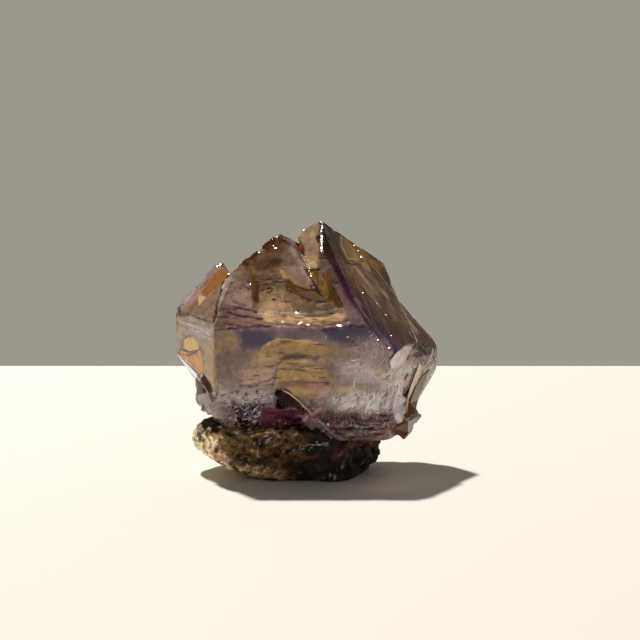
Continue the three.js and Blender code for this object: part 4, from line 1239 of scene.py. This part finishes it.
# Chipped edges and flakes that catch the light: a flake's width in millimetres, and their spacing, spread
# and line in pixels.
CHIPS = {
    "summit_left": (0.5, 2.0, 0.4, [(304, 230), (309, 226), (314, 223)]),
    "summit_top": (0.6, 1.5, 0.4, [(314, 222), (318, 221)]),
    "summit_ridge": (0.35, 2.0, 0.4, [(321, 232), (322, 250)]),
    "summit_right": (0.4, 2.5, 0.4, [(330, 224), (338, 229)]),
    "plate_glints": (0.5, 8.0, 0.4, [(354, 245), (361, 257)]),
    "left_tip": (0.7, 2.0, 0.4, [(218, 266), (221, 265)]),
    "left_tip_right": (0.45, 3.0, 0.4, [(229, 274), (231, 271)]),
    "upper_glint": (0.5, 3.0, 0.4, [(273, 246), (275, 248)]),
    "cleft_side": (0.3, 4.0, 0.4, [(302, 256), (306, 264), (311, 276)]),
    "ledge_line": (0.45, 2.0, 0.4, [(296, 313), (306, 313)]),
    "ledge_corner_glint": (0.8, 2.0, 0.4, [(320, 304), (323, 304)]),
    "below_ledge_left": (0.8, 2.0, 0.4, [(307, 325), (309, 325)]),
    "below_ledge_right": (0.9, 2.0, 0.4, [(337, 325), (340, 325)]),
    "front_sparks": (0.35, 4.0, 1.5, [(326, 335), (330, 342)]),
    "tip_sparks": (0.3, 16.0, 3.0, [(366, 290), (374, 296), (384, 312), (392, 330)]),
    "corner_sparks": (0.35, 5.0, 1.5, [(372, 334), (384, 346), (391, 353)]),
    "blade_ridge": (0.4, 2.2, 0.4, [(404, 361), (406, 355), (412, 350)]),
    "end_rim": (0.7, 1.6, 0.4, [(438, 355), (438, 363)]),
    "end_spark": (0.5, 3.0, 0.4, [(432, 379), (434, 380)]),
    "lens_foot": (0.5, 3.5, 1.2, [(306, 399), (318, 401)]),
    "triangle_rim": (0.45, 2.0, 0.4, [(299, 401), (305, 409)]),
    "rose_line": (0.3, 3.0, 1.5, [(340, 421), (352, 423), (366, 422)]),
    "rock_grains": (1.2, 2.6, 1.8, [(302, 447), (312, 445), (328, 443)]),
    "rock_grains_left": (1.2, 4.2, 2.2, [(232, 436), (248, 434), (262, 438), (280, 438)]),
    "rock_grains_low": (0.45, 4.0, 5.0, [(268, 444), (284, 448), (304, 452), (318, 450)]),
    "clump": (0.45, 2.2, 1.2, [(243, 414), (248, 409), (256, 409), (262, 414)]),
    "clump_foot": (0.4, 2.5, 1.5, [(244, 420), (250, 424), (254, 430)]),
    "foot_left": (0.45, 4.0, 2.0, [(228, 408), (236, 406), (238, 414), (230, 420)]),
    "foot_rim": (0.4, 5.0, 1.0, [(254, 431), (274, 428), (296, 429)]),
    "x_glints": (0.5, 3.0, 0.8, [(306, 401), (316, 402), (322, 401)]),
    "rock_left_glints": (0.5, 7.0, 3.0, [(226, 440), (236, 452), (250, 462)]),
    "milk_sparks": (0.35, 9.0, 3.0, [(334, 402), (350, 398), (370, 404), (388, 400)]),
    "upper_left_rim": (0.35, 5.0, 0.6, [(250, 256), (262, 246), (272, 238)]),
    "summit_edge_glint": (0.35, 2.2, 0.5, [(321, 222), (322, 234), (322, 250)]),
    "bulge_glints": (0.4, 5.0, 2.0, [(420, 352), (430, 372), (434, 380)]),
}

ROCK_TONES = {
    "soot": "#150a05",
    "rust": "#5e301a",
    "olive": "#664a22",
    "sepia": "#6a4220",
    "ochre": "#744c26",
    "clay": "#f6d6ac",
    "fox": "#a87848",
    "grain": "#d8ccb0",
}

# The rock's patches that face the front: tone, strength, softness of the rim, and outline, in pixels.
ROCK_PATCHES = {
    "end": ("clay", 1.0, 2, [(184, 414), (214, 416), (222, 430), (224, 462), (214, 472), (184, 462)]),
    "end_stain": ("fox", 0.8, 1.5, [(204, 420), (214, 420), (218, 430), (214, 442), (207, 436)]),
    "end_lower_stain": ("fox", 0.5, 3, [(214, 444), (224, 438), (226, 464), (210, 464)]),
    # Painted shadow in the gap between the left crystal and the top of the rock's end.
    "end_top_shadow": ("soot", 1.0, 1.2, [(190, 412), (222, 414), (219, 426), (210, 424), (204, 429), (197, 424),
        (190, 424)]),
    "beside_end": ("olive", 0.8, 3, [(218, 426), (236, 424), (236, 450), (222, 456)]),
    "top_band": ("ochre", 0.85, 2, [(224, 426), (298, 430), (300, 438), (226, 440)]),
    "left_body": ("olive", 0.9, 6, [(228, 436), (300, 434), (312, 446), (304, 462), (240, 464)]),
    "right_body": ("soot", 0.9, 8, [(322, 418), (394, 418), (390, 478), (290, 480), (306, 458)]),
    "right_red": ("rust", 0.7, 2, [(346, 438), (388, 434), (390, 446), (366, 452), (344, 450)]),
    "low_red": ("rust", 0.8, 2, [(334, 446), (352, 448), (350, 462), (332, 462)]),
    "lower_rim": ("clay", 0.8, 3, [(222, 454), (236, 464), (262, 470), (300, 474), (290, 482), (240, 478)]),
    "low_middle": ("sepia", 0.8, 5, [(262, 452), (318, 456), (310, 474), (270, 474)]),
    "right_tan": ("fox", 0.8, 1.5, [(354, 444), (366, 442), (374, 444), (364, 448), (352, 449)]),
    "top_edge": ("clay", 0.6, 1.2, [(248, 427), (300, 426), (302, 432), (250, 433)]),
    "low_dark": ("soot", 0.7, 4, [(280, 462), (390, 458), (380, 480), (284, 480)]),
    "end_inner": ("clay", 0.8, 1.5, [(186, 430), (204, 430), (212, 446), (214, 464), (200, 462),
        (188, 452)]),
}


# ---- Small crystals, flakes, plates and slivers ----


def small_crystal(foot, axis, width, height, rng):
    """The points and faces of one small quartz crystal, half sunk in what it grows on."""
    side = unit(np.cross(axis, (0.3, 1, 0.2)))
    other = np.cross(axis, side)
    angles = rng.uniform(0, math.tau) + np.arange(6) * math.tau / 6
    spokes = np.outer(np.cos(angles), side) + np.outer(np.sin(angles), other)
    spokes *= (width / 2 * rng.uniform(0.75, 1.1, 6))[:, None]
    base = foot - axis * height * 0.5
    shoulder = base + axis * height * rng.uniform(0.55, 0.7)
    tip = base + axis * height + spokes[0] * rng.uniform(-0.3, 0.3)
    points = np.concatenate([base + spokes, shoulder + spokes, [tip]])
    sides = [(i, (i + 1) % 6, 6 + (i + 1) % 6, 6 + i) for i in range(6)]
    slopes = [(6 + i, 6 + (i + 1) % 6, 12) for i in range(6)]
    return points, [(5, 4, 3, 2, 1, 0), *sides, *slopes]


def flake(centre, normal, width, rng):
    """The points and faces of a thin five-sided flake."""
    side = unit(np.cross(normal, (0.2, 1, 0.4)))
    other = np.cross(normal, side)
    angles = rng.uniform(0, math.tau) + np.arange(5) * math.tau / 5
    ring = np.outer(np.cos(angles), side) + rng.uniform(0.35, 1) * np.outer(np.sin(angles), other)
    ring *= (width / 2 * rng.uniform(0.6, 1.1, 5))[:, None]
    rise = bpy.context.scene.small_settings.flake_depth / MM / 2 * normal
    sides = [(i, 5 + i, 5 + (i + 1) % 5, (i + 1) % 5) for i in range(5)]
    points = np.concatenate([centre + ring + rise, centre + ring - rise])
    return points, [(0, 1, 2, 3, 4), (9, 8, 7, 6, 5), *sides]


def plate(outline, tree, eye, depth):
    """The points and faces of a plate that follows the surface behind its outline in the picture and is
    sunk in it, all but its face."""
    places = [tree.ray_cast(eye, picture_ray(*pixel))[0] for pixel in outline]
    outline = [pixel for pixel, place in zip(outline, places) if place]
    places = [place for place in places if place]
    if len(places) < 3:
        return np.empty((0, 3)), []
    triangles = tessellate_polygon([[Vector((*pixel, 0)) for pixel in outline]])
    least = 0.05 * MM
    lift = least
    for triangle in triangles:
        middle = sum((places[k] for k in triangle), Vector()) / 3
        covering = tree.ray_cast(eye, middle - eye)[0]
        lift = max(lift, (middle - covering).dot((middle - eye).normalized()) + least)
    lift = min(lift, bpy.context.scene.small_settings.highest)
    front = [place + (eye - place).normalized() * lift for place in places]
    back = [place - (eye - place).normalized() * depth for place in places]
    count = len(places)
    sides = [(i, count + i, count + (i + 1) % count, (i + 1) % count) for i in range(count)]
    backs = [tuple(count + k for k in triangle) for triangle in triangles]
    return np.array(front + back) / MM, [*map(tuple, triangles), *backs, *sides]


def sliver(across, down, slope, length, width, bend):
    """The outline, in pixels, of a curved sliver with pointed ends."""
    along = np.array((math.cos(slope), -math.sin(slope)))
    aside = np.array((math.sin(slope), math.cos(slope)))
    start, first, second, end = [
        np.array((across, down)) + along * length / 2 * t + aside * bend * (1 - t * t)
        for t in (-1, -0.4, 0.4, 1)
    ]
    half = aside * width / 2
    return [tuple(place) for place in (start, first - half, second - half, end, second + half, first + half)]


def gather(joined, made, tint):
    """Adds a small shape to joined (points, faces and tints), unless it reaches out of the box."""
    points, faces, tints = joined
    places, sides = made
    low, high = (np.array(corner) / MM for corner in CAD_BOX)
    if np.all(places > low + BOX_MARGIN) and np.all(places < high - BOX_MARGIN):
        faces += [tuple(len(points) + k for k in side) for side in sides]
        points += places.tolist()
        tints += [tint] * len(places)


def joined_piece(name, joined, material):
    """One piece of many small gathered shapes."""
    points, faces, tints = joined
    mesh = bpy.data.meshes.new(name)
    mesh.from_pydata((np.array(points) * MM).tolist(), [], faces)
    set_colours(mesh, "tint", tints)
    work = bmesh.new()
    work.from_mesh(mesh)
    bmesh.ops.recalc_face_normals(work, faces=work.faces)
    work.to_mesh(mesh)
    work.free()
    return add_piece(name, mesh, material, sharp=20)


def rim_knobs(tree, eye, rng):
    """Rows of small knobs along the crystals' rims."""
    knobs = ([], [], [])
    for tone, width, spacing, line in RIMS.values():
        for across, down in along_line(line, spacing):
            place, normal, _, _ = tree.ray_cast(eye, picture_ray(across, down))
            if place is None:
                continue
            axis = unit(np.array(normal) + (-0.2, 0, 0.6) + rng.normal(0, 0.2, 3))
            made = small_crystal(np.array(place) / MM, axis, width, 1.2 * width, rng)
            gather(knobs, made, deep(TONES[tone]))
    return knobs


def glinting_flakes(tree, eye, rng):
    """Flakes that face halfway between the key light and the camera."""
    flakes = ([], [], [])
    for width, spacing, stray, line in CHIPS.values():
        for across, down in along_line(line, spacing):
            across, down = np.array((across, down)) + rng.normal(0, stray, 2)
            place, _, _, _ = tree.ray_cast(eye, picture_ray(across, down))
            if place is None:
                continue
            normal = unit(np.array(TO_LIGHT + (eye - place).normalized()) + rng.normal(0, 0.03, 3))
            made = flake(np.array(place) / MM, normal, width * rng.uniform(0.5, 1.4), rng)
            gather(flakes, made, deep(TONES["frost"]))
    return flakes


def plates_and_slivers(tree, eye, rng):
    """The facets' plates and the fields of slivers. Also how clear each of their points is."""
    small = bpy.context.scene.small_settings
    plates, clearness = ([], [], []), []
    for tone, clear, outline in FACETS.values():
        gather(plates, plate(outline, tree, eye, small.plate_depth), deep(TONES[tone]))
        clearness += [clear] * (len(plates[0]) - len(clearness))
    for tone, count, slope, turn, length, width, bend, field in SLIVERS.values():
        # More places than needed are drawn, for those that fall outside the field are left out.
        places = rng.uniform(np.min(field, axis=0), np.max(field, axis=0), (12 * count, 2))
        for across, down in places[within(places, field) > 0][:count]:
            lie = math.radians(slope + turn * rng.uniform(-1, 1))
            long, wide = length * rng.uniform(0.5, 1.4), width * rng.uniform(0.7, 1.4)
            outline = sliver(across, down, lie, long, wide, bend * rng.uniform(-1, 1))
            gather(plates, plate(outline, tree, eye, small.sliver_depth), deep(TONES[tone]))
            clearness += [rng.uniform(0.2, 0.75)] * (len(plates[0]) - len(clearness))
    return plates, clearness


# ---- The rock ----


def broken_surface(points, normals, fine, pits):
    """The points moved so that the rock is lumpy and pitted, less so near its foot and its crusted end."""
    rock = bpy.context.scene.rock_settings
    free = ramp(points[:, 2], 0.3, 2.0) * (1 - 0.5 * ramp(-points[:, 0], 18.0, 22.0))
    ledges = 1 - 2 * np.abs(noise(points, 3.1, 43))
    lumps = 0.6 * rough_noise(points, 4.0, 41) + 0.5 * ledges + 0.7 * fine
    out = rock.roughness / MM * (lumps - 0.75) - rock.pits / MM * pits
    moved = points + normals * (np.minimum(out, 0.15) * free)[:, None]
    moved[:, 2] = np.maximum(moved[:, 2], 0)
    return moved


def lay_patches(points, pixels, fine, tint):
    """Lays the rock's patches on. They stop where its front does."""
    pixels = unsteady(points, pixels, 5.0, 57)
    for tone, strength, soft, outline in ROCK_PATCHES.values():
        at = near_outline(pixels, outline, 2 * soft + 4)
        edge = within(pixels[at], outline) + 3 * fine[at]
        mask = ramp(edge, -soft, soft) * strength * (points[at, 1] < 4)
        lay(tint, at, linear(ROCK_TONES[tone]), mask)


def rock_colours(points, pixels, fine, pits):
    """The basalt's colours: dark, with reddish and pale patches, a clay crust at one end, and pale grains."""
    tint = np.tile(np.sqrt(bpy.context.scene.rock_settings.body_colour), (len(points), 1))
    broad = rough_noise(points, 7.0, 51)
    crust = ramp(-points[:, 0] + 3 * broad, 17.0, 20.0)
    low = ramp(-points[:, 2] + 2 * broad - 0.25 * points[:, 0], 0.0, 4.0)
    for tone, mask in (
        ("rust", 0.7 * ramp(rough_noise(points, 5.0, 53), 0.15, 0.5)),
        ("olive", 0.5 * ramp(rough_noise(points, 6.0, 55), 0.1, 0.5)),
        ("sepia", 0.5 * low),
        ("clay", crust),
        ("clay", 0.6 * low * ramp(fine, 0.1, 0.4)),
    ):
        lay(tint, EVERYWHERE, linear(ROCK_TONES[tone]), mask)
    lay_patches(points, pixels, fine, tint)
    grains = ramp(noise(points, 0.8, 59), 0.5, 0.62) * ramp(rough_noise(points, 4.5, 61), -0.1, 0.3)
    lay(tint, EVERYWHERE, linear(ROCK_TONES["grain"]), 0.7 * grains)
    # The tan flecks are laid only on the lit side, to the left and low down: painted light.
    lit_side = ramp(-points[:, 0] - 0.6 * points[:, 2] + 4 * broad, -14.0, 4.0)
    flecks = ramp(rough_noise(points, (1.7, 1.7, 0.9), 69), 0.12, 0.3) * ramp(lit_side, 0.0, 1.0)
    lay(tint, EVERYWHERE, linear(ROCK_TONES["fox"]), 0.35 * flecks)
    # Mottled at random, and darker in the pits: the darkening in the pits is painted shade.
    tint *= (1 + 0.9 * rough_noise(points, 0.9, 67) - 0.6 * pits)[:, None]
    return np.clip(tint, 0, 1) ** 2


# ---- The stage ----


def add_camera(scene):
    """The camera, level with the top of the object and tilted down at it."""
    stage = scene.stage_settings
    lens = bpy.data.cameras.new("camera")
    lens.sensor_width = SENSOR_WIDTH
    lens.lens = stage.camera_lens
    lens.clip_start, lens.clip_end = 0.01, 20
    camera = new_object("camera", lens)
    camera.location = stage.camera_place
    camera.rotation_euler = (math.radians(90) - stage.camera_pitch, 0, 0)
    scene.camera = camera


def add_room_light(scene):
    """Even light from all round, warmer and brighter from behind the object."""
    stage = scene.stage_settings
    world = bpy.data.worlds.new("room")
    scene.world = world
    world.use_nodes = True
    world.node_tree.nodes.clear()
    direction = add_node(world, "ShaderNodeTexCoord")["Generated"]
    behind = add_node(world, "ShaderNodeSeparateXYZ", {"Vector": direction})["Y"]
    share = add_node(
        world, "ShaderNodeMapRange", {"Value": behind, "From Min": 0.1, "From Max": 0.7}
    )["Result"]
    # A mix node has sockets of each kind under the same names, so its colours go by place.
    room, wall = (*stage.room_colour, 1), (*stage.wall_colour, 1)
    colour = add_node(world, "ShaderNodeMix", {"Factor": share, 6: room, 7: wall}, data_type="RGBA")[2]
    light = add_node(world, "ShaderNodeBackground", {"Color": colour})["Background"]
    add_node(world, "ShaderNodeOutputWorld", {"Surface": light})


def add_table(scene):
    """The pale table top. Its back edge shows behind the object."""
    stage = scene.stage_settings
    table = bpy.data.meshes.new("table")
    side, end = stage.table_reach, stage.table_end
    corners = [(-side, -side, 0), (side, -side, 0), (side, end, 0), (-side, end, 0)]
    table.from_pydata(corners, [], [(0, 1, 2, 3)])
    table.materials.append(painted_board())
    new_object("table", table)


def add_key_light(scene):
    """One soft light from high up, a little to the left of the object and behind it."""
    stage = scene.stage_settings
    light = bpy.data.lights.new("key", "AREA")
    light.shape = "DISK"
    light.size = stage.key_size
    light.energy = stage.key_power
    light.color = stage.key_colour
    lamp = new_object("key", light)
    lamp.location = stage.key_distance * TO_LIGHT + Vector((0, 0, stage.key_aim))
    lamp.rotation_euler = (-TO_LIGHT).to_track_quat("-Z", "Y").to_euler()


# ---- Operators ----


class AMETHYST_OT_stage(bpy.types.Operator):
    """Adds the camera, the soft lights and the pale table"""

    bl_idname = "amethyst.stage"
    bl_label = "Stage"

    def execute(self, context):
        scene = context.scene
        add_camera(scene)
        add_room_light(scene)
        add_table(scene)
        add_key_light(scene)
        scene.view_settings.view_transform = "Standard"
        # Light is let pass through many faces, so that quartz behind quartz isn't black.
        cycles = scene.cycles
        cycles.max_bounces, cycles.transmission_bounces, cycles.glossy_bounces = 24, 20, 16
        return {"FINISHED"}


class AMETHYST_OT_crystals(bpy.types.Operator):
    """Makes the crystals, grown together, with their growth lines, chips and stains, and painted shade and
    highlights
    """

    bl_idname = "amethyst.crystals"
    bl_label = "Crystals"

    def execute(self, context):
        crystal = context.scene.crystal_settings
        mesh, edge_points = fine_copy("crystal_cluster", "quartz_cluster", crystal.grain)
        points, normals = mesh_arrays(mesh)
        pixels = in_picture(points)
        seen = seen_by_camera(mesh, points, 2.5 * crystal.grain)
        # The upper part of the right end is worn round.
        worn = ramp(points[:, 0], 20.0, 23.0) * ramp(points[:, 2], 15.5, 17.5)
        moved = rounded(mesh, points, 0.6 * worn, 60)
        sunk = crystal_relief(points, normals, distance_to(points, edge_points))
        sunk += hollows(unsteady(points, pixels, 1.0, 95), seen * ramp(-normals[:, 1], 0.3, 0.7))
        set_points(mesh, moved - normals * sunk[:, None])
        paint_crystals(mesh, points, pixels, normals, seen)
        piece = add_piece("quartz_cluster", mesh, smoky_quartz())
        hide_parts("crystal_cluster")
        return {"FINISHED"}


class AMETHYST_OT_rock(bpy.types.Operator):
    """Makes the rough basalt with its clay crust"""

    bl_idname = "amethyst.rock"
    bl_label = "Rock"

    def execute(self, context):
        mesh, _ = fine_copy("basalt_matrix", "basalt_lump", context.scene.rock_settings.grain)
        points, normals = mesh_arrays(mesh)
        fine, pits = rough_noise(points, 1.2, 45), ramp(noise(points, 1.8, 47), 0.25, 0.7)
        set_points(mesh, broken_surface(points, normals, fine, pits))
        set_colours(mesh, "tint", rock_colours(points, in_picture(points), fine, pits))
        piece = add_piece("basalt_lump", mesh, weathered_basalt(), sharp=180)
        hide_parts("basalt_matrix")
        return {"FINISHED"}


class AMETHYST_OT_druse(bpy.types.Operator):
    """Makes the crust of small quartz crystals between the large ones and the rock"""

    bl_idname = "amethyst.druse"
    bl_label = "Druse"

    def execute(self, context):
        crystals, rock = bpy.data.objects["quartz_cluster"].data, bpy.data.objects["basalt_lump"].data
        places, normals = mesh_arrays(crystals)
        rock_points, _ = mesh_arrays(rock)
        from_rock = distance_to(places, [Vector(p) for p in rock_points[::3] * MM])
        at_left = ramp(within(in_picture(places), DRUSE_FIELD), -4, 2) * (normals[:, 1] < -0.2)
        chance = ramp(from_rock, 1.6, 0.4) + 0.2 * at_left
        chance *= normals[:, 2] > -0.8
        rng = np.random.default_rng(11)
        count = context.scene.small_settings.druse_count
        crust = ([], [], [])
        for i in rng.choice(len(places), count, replace=False, p=chance / chance.sum()):
            axis = unit(normals[i] + (0, 0, 0.5) + rng.normal(0, 0.35, 3))
            width, height = rng.uniform(0.3, 0.8), rng.uniform(0.6, 1.5)
            made = small_crystal(places[i], axis, width, height, rng)
            tone = ("milk", "grey_lilac", "mauve", "tan")[rng.choice(4, p=(0.35, 0.35, 0.15, 0.15))]
            gather(crust, made, linear(TONES[tone]))
        joined_piece("druse", crust, druse_quartz())
        return {"FINISHED"}


class AMETHYST_OT_chips(bpy.types.Operator):
    """Makes the knobs along the crystals' rims, the flakes that catch the light, the plates and slivers"""

    bl_idname = "amethyst.chips"
    bl_label = "Chips"

    def execute(self, context):
        eye = Vector(context.scene.stage_settings.camera_place)
        tree = surfaces_tree()
        rng = np.random.default_rng(5)
        knobs = rim_knobs(tree, eye, rng)
        flakes = glinting_flakes(tree, eye, rng)
        plates, clearness = plates_and_slivers(tree, eye, rng)
        piece = joined_piece("facets", plates, bpy.data.materials["smoky_amethyst"])
        set_values(piece.data, "clear", clearness)
        set_values(piece.data, "frost", np.full(len(clearness), 0.12))
        joined_piece("rim_knobs", knobs, druse_quartz())
        joined_piece("flakes", flakes, quartz_flakes())
        return {"FINISHED"}


class AMETHYST_PT_panel(bpy.types.Panel):
    """Lists the steps in their order, and their settings"""

    bl_idname = "AMETHYST_PT_panel"
    bl_label = "Amethyst on Matrix"
    bl_space_type = "VIEW_3D"
    bl_region_type = "UI"
    bl_category = "Amethyst"

    def draw(self, context):
        for operator in OPERATORS:
            self.layout.operator(operator.bl_idname)
        for name, group in SETTINGS.items():
            for setting in group.__annotations__:
                self.layout.prop(getattr(context.scene, name), setting)


OPERATORS = (
    AMETHYST_OT_stage,
    AMETHYST_OT_crystals,
    AMETHYST_OT_rock,
    AMETHYST_OT_druse,
    AMETHYST_OT_chips,
)
SETTINGS = {
    "stage_settings": StageSettings,
    "crystal_settings": CrystalSettings,
    "rock_settings": RockSettings,
    "small_settings": SmallSettings,
}


def register():
    for made in (*SETTINGS.values(), *OPERATORS, AMETHYST_PT_panel):
        bpy.utils.register_class(made)
    for name, group in SETTINGS.items():
        setattr(bpy.types.Scene, name, PointerProperty(type=group))


def unregister():
    for name in SETTINGS:
        delattr(bpy.types.Scene, name)
    for made in (AMETHYST_PT_panel, *reversed(OPERATORS), *SETTINGS.values()):
        bpy.utils.unregister_class(made)


def main():
    register()
    for operator in OPERATORS:
        group, step = operator.bl_idname.split(".")
        getattr(getattr(bpy.ops, group), step)()


if __name__ == "__main__":
    main()
